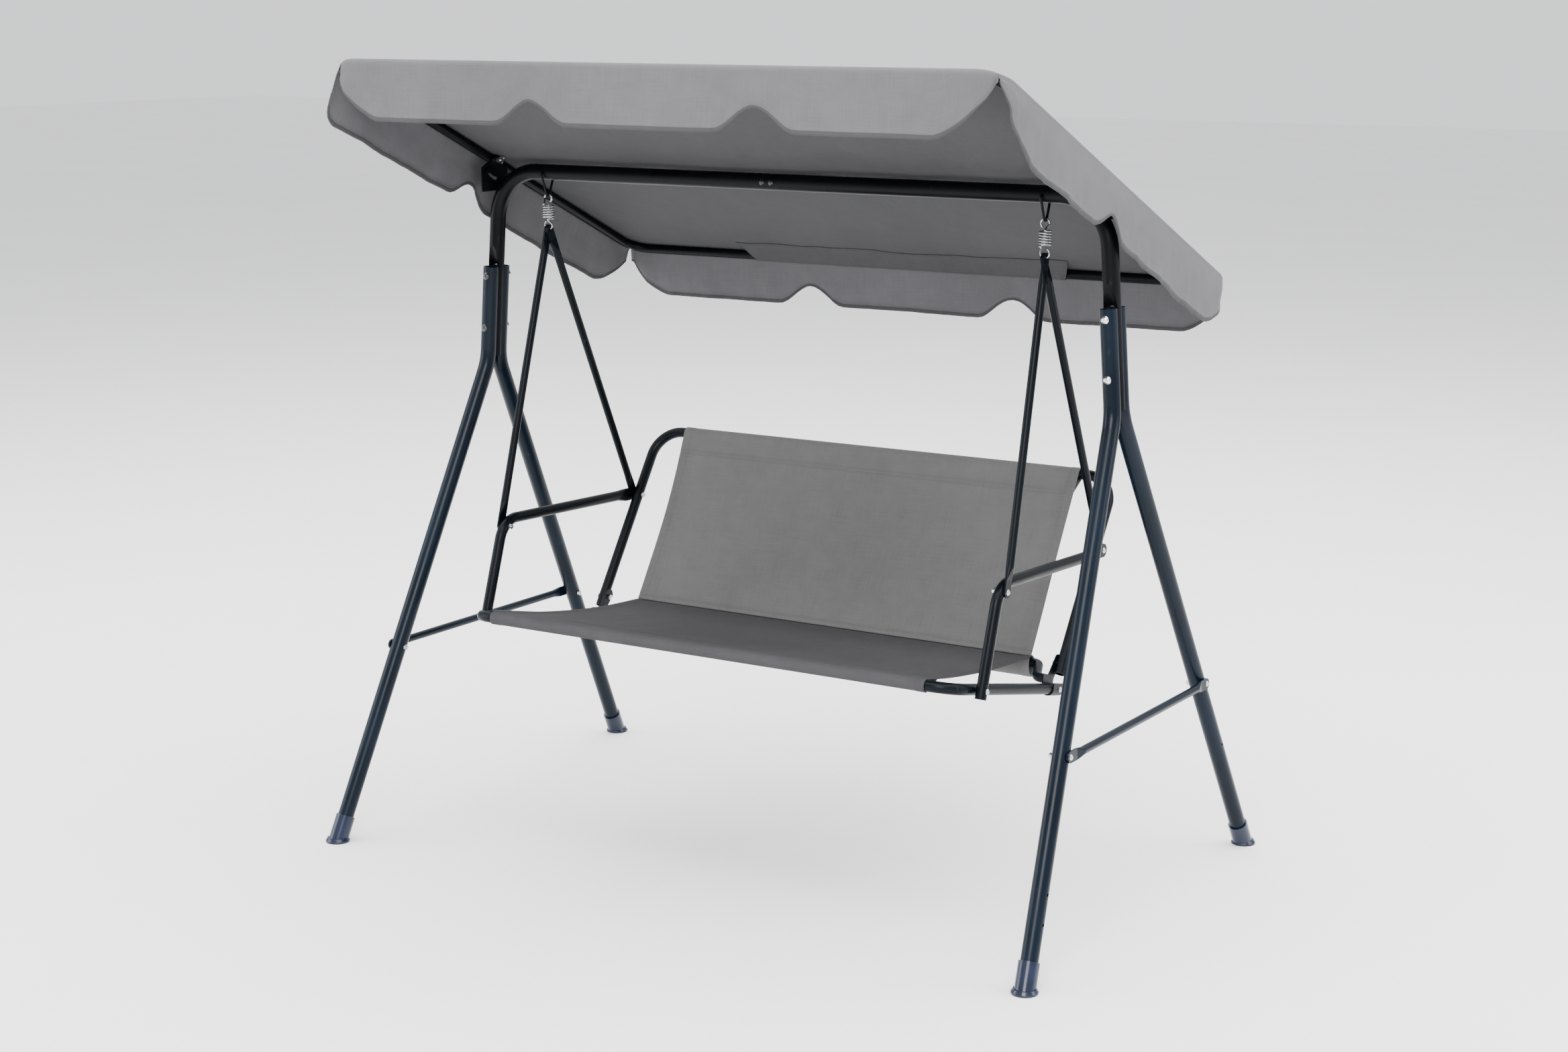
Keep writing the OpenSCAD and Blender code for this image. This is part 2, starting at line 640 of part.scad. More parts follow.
// Saddle around the rear end of a side rail, with a cheek that runs up the back post
module seat_bracket() {
    saddle_l = 46;
    up_l = 12;
    cheek_w = 24;
    difference() {
        union() {
            translate([rail_x, seat_rear_y, seat_rear_h]) rotate([-rail_slope, 0, 0])
                translate([0, 4, 0]) rotate([90, 0, 0]) linear_extrude(saddle_l) difference() {
                    union() {
                        circle(r = seat_r + face_gap + cheek_t);
                        translate([-seat_r - face_gap - cheek_t, 0])
                            square([2 * (seat_r + face_gap + cheek_t), up_l]);
                        translate([-seat_r - face_gap - cheek_t, 0]) square([cheek_t, up_l + 14]);
                    }
                    circle(r = seat_r + face_gap);
                    translate([-seat_r - face_gap, 0]) square([2 * (seat_r + face_gap), 60]);
                }
            hinge_top = post_lower + (post_bolt_s + 6) * post_dir;
            foot_mid = [seat_rear_y - 14, seat_rear_h + 12];
            reach = norm(hinge_top - foot_mid);
            translate([cheek_in - cheek_t, foot_mid[0], foot_mid[1]])
                rotate([atan2(hinge_top[1] - foot_mid[1], hinge_top[0] - foot_mid[0]), 0, 0]) {
                    translate([0, 0, -cheek_w / 2]) cube([cheek_t, reach, cheek_w]);
                    translate([0, reach, 0]) rotate([0, 90, 0]) cylinder(d = cheek_w, h = cheek_t);
                }
        }
        for (b = [bracket_bolt, post_bolt])
            x_rod(b, rail_x - 40, rail_x + 40, small_bolt_d + bore_clear);
    }
}

module left_seat_bracket() { color(PAINT) side(-1) seat_bracket(); }
module right_seat_bracket() { color(PAINT) side(1) seat_bracket(); }

// Bolts of one side of the bench: [place, inner face, outer face]
lean_gap = 0.2;
bench_bolts = [
    [rail_bolt, rail_x - seat_r, arm_x + seat_r],
    [arm_bolt, arm_x - seat_r - bend_full, front_hanger_x + hanger_flat_t / 2 + lean_gap],
    [[arm_rear_y, arm_rear_z], rail_x - seat_r, arm_flat_x + arm_flat_t / 2],
    [bracket_bolt, cheek_in - cheek_t, cheek_out + cheek_t],
    [post_bolt, cheek_in - cheek_t, rail_x + seat_r]
];

module seat_bolts() {
    color(ZINC) for (s = [-1, 1]) side(s) for (b = bench_bolts) x_bolt(b[0], b[1], b[2], small_bolt_d);
}

module seat_nuts() {
    color(ZINC) for (s = [-1, 1]) side(s) for (b = bench_bolts) x_nut(b[0], b[1], small_bolt_d);
}

// Flat panel between two points of the side view, w_p wide at p and w_q wide at q
module panel(p, q, w_p, w_q) {
    l = norm(q - p);
    translate([0, p[0], p[1]]) rotate([atan2(q[1] - p[1], q[0] - p[0]), 0, 0])
        translate([0, 0, -sling_t / 2]) linear_extrude(sling_t)
            polygon([[-w_p / 2, 0], [w_p / 2, 0], [w_q / 2, l], [-w_q / 2, l]]);
}

module sleeve(yz, l, d_in) {
    translate([-l / 2, yz[0], yz[1]]) rotate([0, 90, 0]) linear_extrude(l) ring(d_in + 2 * sling_t, sling_t);
}

seat_pocket_in = seat_tube_d + bore_clear;

module seat_sling() {
    front = [seat_front_y, seat_front_h + seat_pocket_in / 2 + sling_t / 2];
    color(FABRIC) {
        sleeve([seat_front_y, seat_front_h], sling_front_w, seat_pocket_in);
        panel(front, fold, sling_front_w, sling_fold_w);
    }
}

module back_sling() {
    lower = [cross_y, cross_z + cross_pocket_in / 2 + sling_t / 2];
    lift = [-post_dir[1], post_dir[0]] * (seat_pocket_in / 2 + sling_t / 2);
    color(FABRIC) {
        sleeve([cross_y, cross_z], sling_fold_w, cross_pocket_in);
        sleeve(post_upper, sling_fold_w + 22, seat_pocket_in);
        panel(lower, post_upper + lift, sling_fold_w, sling_fold_w + 22);
    }
}

// ---------- Canopy ----------

module canopy_frame() {
    translate([0, pivot_y, pivot_z]) rotate([-canopy_tilt, 0, 0]) children();
}

// Fixed plate and its short post on the shoulder of the top bar; the arc slot is centred on the pivot
module tilt_plate() {
    post_x = bar_corner_x + 2;
    post_low = bar_h - 74;
    slot_n = 24;
    difference() {
        union() {
            translate([tilt_plate_x, pivot_y, pivot_z]) rotate([90, 0, 90]) linear_extrude(tilt_plate_t) hull() {
                circle(r = tilt_top_r);
                translate([-tilt_front, -tilt_plate_h]) square([tilt_plate_w, tilt_plate_h - tilt_shoulder]);
            }
            translate([post_x - tilt_post_d / 2, top_y, post_low])
                cylinder(d = tilt_post_d, h = pivot_z - tilt_post_top - post_low);
        }
        translate([bar_corner_x, top_y, bar_h]) shoulder_cut();
        for (i = [0 : slot_n]) {
            a = slot_from + (slot_to - slot_from) * i / slot_n;
            x_rod([pivot_y + tilt_slot_r * cos(a), pivot_z + tilt_slot_r * sin(a)],
                  tilt_plate_x - 5, tilt_plate_x + 10, slot_w);
        }
        x_rod([pivot_y, pivot_z], tilt_plate_x - 5, tilt_plate_x + 10, pivot_bolt_d + 2 * run_clear);
    }
}

// Room for the top bar's shoulder and for everything inside its bend
module shoulder_cut() {
    a = unit([-sin(leg_lean), 0, cos(leg_lean)]);
    turn = acos(a * [-1, 0, 0]);
    bend_frame([0, 0, 0], a, [-1, 0, 0], bar_bend_r) rotate_extrude(angle = turn) {
        translate([bar_bend_r, 0]) circle(d = leg_d + 4 * bend_full);
        translate([0, -leg_r]) square([bar_bend_r, leg_d]);
    }
    straight(-a * 200, -a * (bar_bend_r * tan(turn / 2) - 0.5), leg_d + 4 * bend_full, 0);
    straight([-300, 0, 0], [0.5 - bar_bend_r * tan(turn / 2), 0, 0], leg_d + 4 * bend_full, 0);
}

module left_tilt_plate() { color(PAINT) side(-1) tilt_plate(); }
module right_tilt_plate() { color(PAINT) side(1) tilt_plate(); }

tube_joint_l = 60;

module canopy_u(y, dir) {
    tube([[canopy_x, y + dir * tube_joint_l, 0], [canopy_x, y, 0], [-canopy_x, y, 0],
          [-canopy_x, y + dir * tube_joint_l, 0]], corner_r, canopy_d, 1);
}

module canopy_front_tube() { color(PAINT) canopy_frame() canopy_u(-canopy_front_l, 1); }
module canopy_rear_tube() { color(PAINT) canopy_frame() canopy_u(canopy_rear_l, -1); }

module canopy_side_tube() {
    y0 = -canopy_front_l + tube_joint_l + face_gap;
    y1 = canopy_rear_l - tube_joint_l - face_gap;
    spigot_l = tube_joint_l - corner_r - 2;
    difference() {
        union() {
            straight([canopy_x, y0, 0], [canopy_x, y1, 0], canopy_d, 1);
            for (e = [[y0 - spigot_l, y0 + 10], [y1 - 10, y1 + spigot_l]])
                straight([canopy_x, e[0], 0], [canopy_x, e[1], 0], canopy_d - 2 - fit_clear, 1.2);
            for (e = [y0 + 1, y1 - 9])
                straight([canopy_x, e, 0], [canopy_x, e + 8, 0], canopy_d - 2 + fit_clear, 1.2);
        }
        x_rod([0, 0], canopy_x - 30, canopy_x + 30, pivot_bolt_d + bore_clear);
    }
}

module canopy_left_tube() { color(PAINT) canopy_frame() side(-1) canopy_side_tube(); }
module canopy_right_tube() { color(PAINT) canopy_frame() side(1) canopy_side_tube(); }

// Plate on the inner side of a canopy side tube; its stud runs in the tilt plate's slot
module canopy_bracket() {
    a = stud_angle + canopy_tilt;
    stud = tilt_slot_r * [cos(a), sin(a)];
    difference() {
        union() {
            translate([canopy_in_x, 0, 0]) rotate([90, 0, 90]) linear_extrude(bracket_t) {
                rotate(a) translate([0, -8]) square([tilt_slot_r, 16]);
                translate(stud) circle(d = 17);
                circle(d = canopy_d);
            }
            x_rod(stud, tilt_plate_x - 3, canopy_in_x + 1, stud_d);
            x_rod(stud, tilt_plate_x - 5, tilt_plate_x - run_clear, slot_w + 5);
        }
        x_rod([0, 0], canopy_in_x - 5, canopy_in_x + 10, pivot_bolt_d + bore_clear);
    }
}

module left_canopy_bracket() { color(PAINT) canopy_frame() side(-1) canopy_bracket(); }
module right_canopy_bracket() { color(PAINT) canopy_frame() side(1) canopy_bracket(); }

wing_x = tilt_plate_x - 0.5;

module pivot_bolt() {
    x1 = canopy_x + canopy_r;
    translate([x1, 0, 0]) rotate([0, -90, 0]) dome_bolt(pivot_bolt_d, x1 - wing_x + 14);
}

module left_pivot_bolt() { color(ZINC) canopy_frame() side(-1) pivot_bolt(); }
module right_pivot_bolt() { color(ZINC) canopy_frame() side(1) pivot_bolt(); }

module wing_nut() {
    wing_l = fabric_over - 0.6 - 4;
    translate([wing_x, 0, 0]) rotate([0, -90, 0]) difference() {
        union() {
            cylinder(d = 12, h = 8);
            for (k = [-1, 1]) hull() {
                translate([k * 4, 0, 3]) cube([2, 2.6, 5], center = true);
                translate([k * wing_l, 0, 11]) rotate([90, 0, 0]) cylinder(d = 8, h = 2.2, center = true, $fn = 24);
            }
        }
        translate([0, 0, -1]) cylinder(d = pivot_bolt_d + wing_clear, h = 20);
    }
}

module left_wing_nut() { color(ZINC) canopy_frame() side(-1) wing_nut(); }
module right_wing_nut() { color(ZINC) canopy_frame() side(1) wing_nut(); }

// Drop of a hanging edge at place u along a side from 0 to l, with rounded notches between its scallops
function notch(u, c) = abs(u - c) < notch_w / 2 ? notch_h * (1 + cos(360 * (u - c) / notch_w)) / 2 : 0;
function corner_lift(u, l) =
    let (e = min(u, l - u)) e < corner_cut ? (valance_h - 14) * pow(1 - e / corner_cut, 1.6) : 0;
function drop(u, l, centres) =
    valance_h - corner_lift(u, l) - max([for (c = centres) notch(u, c)]);

// Hanging edge as a flat shape: u to the right, the top at 0, the edge below
module valance_shape(l, centres) {
    n = ceil(l / 22);
    polygon(concat([[0, 0], [l, 0]],
                   [for (i = [0 : n]) let (u = l * (1 - i / n)) [u, -drop(u, l, centres)]]));
}

module canopy_fabric() {
    l_side = fabric_front + fabric_rear;
    thirds = [2 * fabric_x / 3, 4 * fabric_x / 3];
    inner_x = fabric_x - canopy_t / 2;
    color(FABRIC) {
        canopy_frame() translate([-inner_x, -fabric_front, fabric_over])
            cube([2 * inner_x, l_side, canopy_t]);
        // Front and rear edges hang straight down; their tops sit inside the sheet above
        for (e = [[-fabric_front, 0.4 * canopy_t, 0.2 * canopy_t], [fabric_rear, -1.4 * canopy_t, 0.9 * canopy_t]]) {
            y_e = pivot_y + e[0] * cos(canopy_tilt) + fabric_over * sin(canopy_tilt) + e[1];
            z_e = pivot_z - e[0] * sin(canopy_tilt) + fabric_over * cos(canopy_tilt) + e[2];
            translate([-inner_x, y_e + canopy_t, z_e]) rotate([90, 0, 0])
                linear_extrude(canopy_t) valance_shape(2 * inner_x, thirds);
        }
        for (s = [-1, 1]) side(s) canopy_frame()
            translate([fabric_x - canopy_t, -fabric_front - 0.3, fabric_over + canopy_t + 0.3]) rotate([90, 0, 90])
                linear_extrude(canopy_t) valance_shape(l_side + 0.6, [fabric_front - 30]);
    }
}

left_front_leg();
left_rear_leg();
right_front_leg();
right_rear_leg();
left_front_foot();
left_rear_foot();
right_front_foot();
right_rear_foot();
left_leg_brace();
right_leg_brace();
top_bar_left();
top_bar_right();
leg_bolts();
leg_nuts();
brace_bolts();
brace_nuts();
bar_joint_bolts();
left_tilt_plate();
right_tilt_plate();
left_hanging_link();
right_hanging_link();
left_spring();
right_spring();
left_front_hanger();
left_rear_hanger();
right_front_hanger();
right_rear_hanger();
left_armrest();
right_armrest();
seat_frame();
back_frame();
seat_cross_tube();
left_seat_bracket();
right_seat_bracket();
seat_bolts();
seat_nuts();
seat_sling();
back_sling();
canopy_front_tube();
canopy_rear_tube();
canopy_left_tube();
canopy_right_tube();
left_canopy_bracket();
right_canopy_bracket();
left_pivot_bolt();
right_pivot_bolt();
left_wing_nut();
right_wing_nut();
canopy_fabric();
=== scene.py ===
import bpy
import math
import numpy as np
from mathutils import Euler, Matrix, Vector


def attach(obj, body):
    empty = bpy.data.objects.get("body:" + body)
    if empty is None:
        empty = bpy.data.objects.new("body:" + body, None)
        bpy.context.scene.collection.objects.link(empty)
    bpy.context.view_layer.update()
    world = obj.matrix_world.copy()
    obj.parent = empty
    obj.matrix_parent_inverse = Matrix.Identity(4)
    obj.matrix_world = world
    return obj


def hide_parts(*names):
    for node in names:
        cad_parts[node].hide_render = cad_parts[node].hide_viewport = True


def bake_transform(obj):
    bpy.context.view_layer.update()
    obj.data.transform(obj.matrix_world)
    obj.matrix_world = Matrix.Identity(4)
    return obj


# Garden canopy swing seat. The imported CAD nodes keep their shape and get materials. The canopy fabric, the
# two slings and the two springs are replaced with detailed meshes. Lengths are in metres.

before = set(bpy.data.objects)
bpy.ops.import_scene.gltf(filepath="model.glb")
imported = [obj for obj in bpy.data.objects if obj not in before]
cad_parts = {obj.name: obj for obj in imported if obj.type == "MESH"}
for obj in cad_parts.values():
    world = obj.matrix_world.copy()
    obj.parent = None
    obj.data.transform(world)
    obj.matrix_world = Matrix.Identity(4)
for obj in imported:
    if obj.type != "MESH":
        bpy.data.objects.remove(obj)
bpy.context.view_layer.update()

# ---------------------------------------------------------------- camera, lights and world
CAM_DOWN, CAM_TURN = 0.1993, 0.5607  # radians below the horizon and left of +Y

cam_data = bpy.data.cameras.new("camera")
cam = bpy.data.objects.new("camera", cam_data)
bpy.context.scene.collection.objects.link(cam)
cam.location = (2.7843, -4.4268, 1.7259)
cam.rotation_euler = Euler((math.pi / 2 - CAM_DOWN, 0.0, CAM_TURN), "XYZ")
cam_data.sensor_width = 36.0
cam_data.lens = 60.39
cam_data.shift_x = -0.005
cam_data.clip_end = 200
bpy.context.scene.camera = cam

LIGHTS = (  # name, place, point it faces, width and height, watts
    ("overhead", (0.0, 0.4, 5.2), (0, 0.4, 0), (9.0, 9.0), 1150),
    ("key", (2.2, -4.6, 3.4), (0, 0, 0.9), (2.4, 2.4), 270),
    ("fill_left", (-4.8, -2.8, 2.0), (0, 0, 0.9), (3.0, 3.0), 140),
    ("rim_right", (4.4, 1.4, 2.8), (0, 0, 0.9), (2.2, 3.0), 105),
)
for name, place, target, size, power in LIGHTS:
    data = bpy.data.lights.new(name, "AREA")
    data.shape = "RECTANGLE"
    data.size, data.size_y = size
    data.energy = power
    o = bpy.data.objects.new(name, data)
    o.location = place
    o.rotation_euler = (Vector(target) - Vector(place)).to_track_quat("-Z", "Y").to_euler()
    bpy.context.scene.collection.objects.link(o)

world = bpy.data.worlds.new("world")
bpy.context.scene.world = world
world.use_nodes = True
bg = world.node_tree.nodes["Background"]
bg.inputs["Color"].default_value = (0.96, 0.97, 1.0, 1)
bg.inputs["Strength"].default_value = 1.25


# ---------------------------------------------------------------- material helpers
class Mat:
    """A Principled material whose textures are built from nodes."""

    def __init__(self, name):
        self.m = bpy.data.materials.new(name)
        self.m.use_nodes = True
        self.t = self.m.node_tree
        self.b = self.t.nodes["Principled BSDF"]
        self.tc = self.t.nodes.new("ShaderNodeTexCoord")

    def n(self, kind, **values):
        node = self.t.nodes.new("ShaderNode" + kind)
        for k, v in values.items():
            if k in node.inputs:
                node.inputs[k].default_value = v
            else:
                setattr(node, k, v)
        return node

    def link(self, a, b):
        self.t.links.new(a, b)

    def feed(self, socket, value):
        """Links a node's output to the socket, or writes a plain number or colour into it."""
        if isinstance(value, tuple):
            socket.default_value = (*value, 1)
        elif isinstance(value, (int, float)):
            socket.default_value = value
        else:
            self.link(value, socket)

    def noise(self, scale, detail=4.0, stretch=(1, 1, 1), source="Object", rough=0.55):
        mapping = self.n("Mapping", Scale=stretch)
        self.link(self.tc.outputs[source], mapping.inputs["Vector"])
        noise = self.n("TexNoise", Scale=scale, Detail=detail, Roughness=rough)
        self.link(mapping.outputs["Vector"], noise.inputs["Vector"])
        return noise.outputs["Fac"]

    def split(self, vector):
        sep = self.n("SeparateXYZ")
        self.link(vector, sep.inputs[0])
        return sep.outputs

    def ramp(self, fac, dark, light, start=0.3, end=0.7):
        r = self.n("ValToRGB")
        for stop, place, color in zip(r.color_ramp.elements, (start, end), (dark, light)):
            stop.position, stop.color = place, (*color, 1)
        self.link(fac, r.inputs["Fac"])
        return r.outputs["Color"]

    def span(self, fac, a, b, lo=0.0, hi=1.0):
        """Maps lo..hi to a..b, clamped."""
        r = self.n("MapRange")
        r.inputs["From Min"].default_value, r.inputs["From Max"].default_value = lo, hi
        r.inputs["To Min"].default_value, r.inputs["To Max"].default_value = a, b
        self.link(fac, r.inputs["Value"])
        return r.outputs["Result"]

    def math(self, op, a, b=None):
        r = self.n("Math", operation=op)
        self.feed(r.inputs[0], a)
        if b is not None:
            self.feed(r.inputs[1], b)
        return r.outputs[0]

    def mix(self, fac, a, b):
        r = self.n("Mix", data_type="RGBA")
        for i, v in ((0, fac), (6, a), (7, b)):  # sockets 6 and 7 are the two colours
            self.feed(r.inputs[i], v)
        return r.outputs[2]

    def bump(self, height, distance, strength=1.0, prev=None):
        r = self.n("Bump", Strength=strength, Distance=distance)
        self.link(height, r.inputs["Height"])
        if prev is not None:
            self.link(prev, r.inputs["Normal"])
        return r.outputs["Normal"]

    def done(self, color, rough, normal, **sockets):
        for key, output in (("Base Color", color), ("Roughness", rough), ("Normal", normal)):
            self.link(output, self.b.inputs[key])
        for k, v in sockets.items():
            self.b.inputs[k.replace("_", " ")].default_value = v
        return self.m


def paint(name, dark, light, rough_lo, rough_hi, coat, level=0.22):
    """Powder coat with a fine orange peel and a few scuffs that show grey."""
    m = Mat(name)
    cloud = m.noise(7.0, 3.0)
    fine = m.noise(240.0, 2.0)
    scuff = m.noise(38.0, 6.0, (1, 1, 0.35), rough=0.7)
    worn = m.span(scuff, 0.0, 1.0, 0.66, 0.74)
    col = m.mix(m.math("MULTIPLY", worn, 0.22), m.ramp(cloud, dark, light, end=0.72), (0.075, 0.08, 0.088))
    rough = m.math("ADD", m.span(cloud, rough_lo, rough_hi, 0.3, 0.7), m.math("MULTIPLY", worn, 0.12))
    return m.done(col, rough, m.bump(fine, 0.00012, 0.35), Coat_Weight=coat, Coat_Roughness=0.16,
                  Specular_IOR_Level=level)


def metal(name, tint, rough_lo, rough_hi, stretch):
    """Plated steel with drawn lines along the stretch and small dull spots."""
    m = Mat(name)
    cloud = m.noise(60.0, 4.0)
    lines = m.noise(420.0, 3.0, stretch)
    spots = m.span(m.noise(150.0, 5.0), 0, 1, 0.62, 0.75)
    col = m.mix(m.math("MULTIPLY", spots, 0.35), m.ramp(cloud, tuple(c * 0.82 for c in tint), tint),
                tuple(c * 0.45 for c in tint))
    rough = m.math("ADD", m.span(lines, rough_lo, rough_hi, 0.35, 0.65), m.math("MULTIPLY", spots, 0.15))
    return m.done(col, rough, m.bump(lines, 0.00005, 0.3), Metallic=1.0)


def leg_bolt_plate_shaded_left():
    """The leg bolts are bright plated metal on the right frame; on the left frame the same bolts are painted
    near-black as painted shade.
    """
    m = Mat("leg_bolt_plate_shaded_left")
    cloud = m.noise(60.0, 4.0)
    # Painted shade: bolts at X < 0 get a near-black, non-metal colour instead of the plated metal.
    right = m.math("GREATER_THAN", m.split(m.tc.outputs["Object"])["X"], 0.0)
    col = m.mix(right, m.ramp(cloud, (0.010, 0.012, 0.016), (0.024, 0.028, 0.036)),
                m.ramp(cloud, (0.62, 0.63, 0.65), (0.86, 0.87, 0.88)))
    m.link(right, m.b.inputs["Metallic"])
    return m.done(col, m.span(cloud, 0.22, 0.34, 0.3, 0.7), m.bump(m.noise(420.0, 3.0), 0.00005, 0.3))


def foot_moulding():
    """Glossy dark plastic with some dust in its lowest 18 mm."""
    m = Mat("foot_moulding")
    cloud = m.noise(30.0, 4.0)
    dust = m.span(m.noise(90.0, 6.0, rough=0.7), 0, 1, 0.56, 0.75)
    low = m.span(m.split(m.tc.outputs["Object"])["Z"], 1.0, 0.0, 0.0, 0.018)
    col = m.mix(m.math("MULTIPLY", m.math("MULTIPLY", dust, low), 0.25),
                m.ramp(cloud, (0.0045, 0.008, 0.020), (0.008, 0.014, 0.034)), (0.06, 0.065, 0.07))
    return m.done(col, m.span(cloud, 0.14, 0.26, 0.3, 0.7), m.bump(m.noise(300.0, 2.0), 0.00008, 0.3),
                  Coat_Weight=0.12, Coat_Roughness=0.10, Specular_IOR_Level=0.3)


def studio_floor():
    m = Mat("studio_floor")
    col = m.ramp(m.noise(1.2, 3.0), (0.90, 0.90, 0.90), (0.93, 0.93, 0.93))
    return m.done(col, m.span(m.noise(40.0, 3.0), 0.75, 0.9, 0.3, 0.7), m.bump(m.noise(120.0), 0.0002, 0.2))


STITCH = 0.0042  # length of one stitch with its gap


def cloth(name, base, weave=0.0012, streak=0.05, sheen=0.05, level=0.2, soft=0.16):
    """Woven coated cloth. UV is in metres. The point attribute "seam" is the distance to the nearest row of
    stitches, and "along" runs along that row."""
    m = Mat(name)
    uv = m.n("UVMap")
    uv.uv_map = "UVMap"
    sep = m.split(uv.outputs["UV"])
    turn = 2 * math.pi / weave
    threads = [m.math("SINE", m.math("MULTIPLY", sep[k], turn)) for k in "XY"]
    weft = m.math("MULTIPLY", *threads)
    broad = m.noise(2.6, 3.0)
    mottle = m.noise(26.0, 5.0, rough=0.65)
    v = m.math("ADD", m.span(m.noise(1.0, 3.0, (900, 14, 1), "UV"), -streak, streak, 0.25, 0.75),
               m.span(m.noise(1.0, 3.0, (12, 800, 1), "UV"), -streak, streak, 0.25, 0.75))
    v = m.math("ADD", v, m.span(broad, -0.07, 0.07, 0.3, 0.7))
    v = m.math("ADD", v, m.span(mottle, -0.06, 0.06, 0.3, 0.7))
    v = m.math("ADD", v, m.math("MULTIPLY", weft, 0.05))
    seam = m.math("ABSOLUTE", m.n("Attribute", attribute_name="seam").outputs["Fac"])
    along = m.n("Attribute", attribute_name="along").outputs["Fac"]
    near = m.span(seam, 1.0, 0.0, 0.0005, 0.0011)
    dash = m.span(m.math("SINE", m.math("MULTIPLY", along, 2 * math.pi / STITCH)), 0.0, 1.0, -0.35, -0.05)
    stitch = m.math("MULTIPLY", near, dash)
    pucker_and_shade = m.span(seam, 1.0, 0.0, 0.0, 0.007)
    # Painted shade: the cloth colour is darkened within 7 mm of each stitch row, where the cloth puckers; the same
    # band also drives the pucker bump.
    v = m.math("SUBTRACT", v, m.math("MULTIPLY", pucker_and_shade, 0.10))
    col = m.mix(m.span(v, 0.0, 1.0, -0.45, 0.45), tuple(c * 0.55 for c in base), tuple(c * 1.45 for c in base))
    col = m.mix(m.math("MULTIPLY", stitch, 0.45), col, tuple(c * 1.5 for c in base))
    nrm = m.bump(m.noise(9.0, 3.0), 0.012, soft)
    nrm = m.bump(weft, 0.00018, 0.35, nrm)
    nrm = m.bump(mottle, 0.0010, 0.16, nrm)
    nrm = m.bump(m.math("SUBTRACT", stitch, m.math("MULTIPLY", pucker_and_shade, 1.4)), 0.0007, 0.8, nrm)
    return m.done(col, m.span(mottle, 0.80, 0.92, 0.3, 0.7), nrm, Sheen_Weight=sheen, Sheen_Roughness=0.5,
                  Specular_IOR_Level=level)


MAT = {
    "leg": paint("leg_powder_coat", (0.0009, 0.0036, 0.0080), (0.0018, 0.0066, 0.0140), 0.26, 0.38, 0.04, 0.13),
    "bar": paint("bar_powder_coat", (0.0014, 0.0016, 0.0021), (0.0030, 0.0034, 0.0045), 0.32, 0.44, 0.02, 0.07),
    "bench": paint("bench_powder_coat", (0.0012, 0.0020, 0.0033), (0.0024, 0.0042, 0.0066), 0.30, 0.42, 0.03,
                   0.09),
    "bar_bolt": paint("bolt_black_oxide", (0.0050, 0.0056, 0.0066), (0.0110, 0.0120, 0.0140), 0.25, 0.38, 0.1,
                      0.4),
    "zinc": metal("zinc_plate", (0.58, 0.59, 0.61), 0.20, 0.38, (1, 1, 1)),
    "chrome": metal("spring_plate", (0.36, 0.36, 0.375), 0.12, 0.26, (1, 1, 0.2)),
    "leg_bolt": leg_bolt_plate_shaded_left(),
    "foot": foot_moulding(),
    "canopy": cloth("canopy_cloth", (0.096, 0.0945, 0.101), streak=0.07, soft=0.32),
    # Painted shade: the underside cloth is the canopy cloth at about half its base colour, standing for the shade
    # under the canopy.
    "canopy_under_painted_shade": cloth("canopy_cloth_painted_shade_side", (0.050, 0.0495, 0.0525), streak=0.09, sheen=0.01,
                          level=0.06),
    "binding": cloth("binding_tape", (0.049, 0.0485, 0.051), weave=0.0016),
    "sling_back": cloth("sling_cloth_back", (0.108, 0.1065, 0.1055), weave=0.0014, streak=0.08),
    # Painted shade: the seat cloth is the back's cloth at about half its base colour, standing for the shade the
    # canopy casts on the seat.
    "sling_seat_painted_shade": cloth("sling_cloth_seat_painted_shade", (0.052, 0.0512, 0.0545), weave=0.0014, streak=0.09, sheen=0.01,
                        level=0.06),
    "floor": studio_floor(),
}


# ---------------------------------------------------------------- CAD nodes and floor
def cad_material(name):
    if name.endswith("_foot"):
        return MAT["foot"]
    if name == "bar_joint_bolts":
        return MAT["bar_bolt"]
    if name == "leg_bolts":
        return MAT["leg_bolt"]
    if "bolt" in name or "nut" in name:
        return MAT["zinc"]
    if "leg" in name:
        return MAT["leg"]
    if any(word in name for word in ("bar", "plate", "link", "canopy")):
        return MAT["bar"]
    return MAT["bench"]


for name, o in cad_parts.items():
    for s in o.material_slots:
        s.material = cad_material(name)

FLOOR_HALF, FLOOR_DROP = 30, 0.0005
floor_mesh = bpy.data.meshes.new("studio_floor")
floor_mesh.from_pydata([(-FLOOR_HALF, -FLOOR_HALF, 0), (FLOOR_HALF, -FLOOR_HALF, 0),
                        (FLOOR_HALF, FLOOR_HALF, 0), (-FLOOR_HALF, FLOOR_HALF, 0)], [], [(0, 1, 2, 3)])
floor = bpy.data.objects.new("studio_floor", floor_mesh)
floor.location.z = -FLOOR_DROP
floor_mesh.materials.append(MAT["floor"])
bpy.context.scene.collection.objects.link(floor)


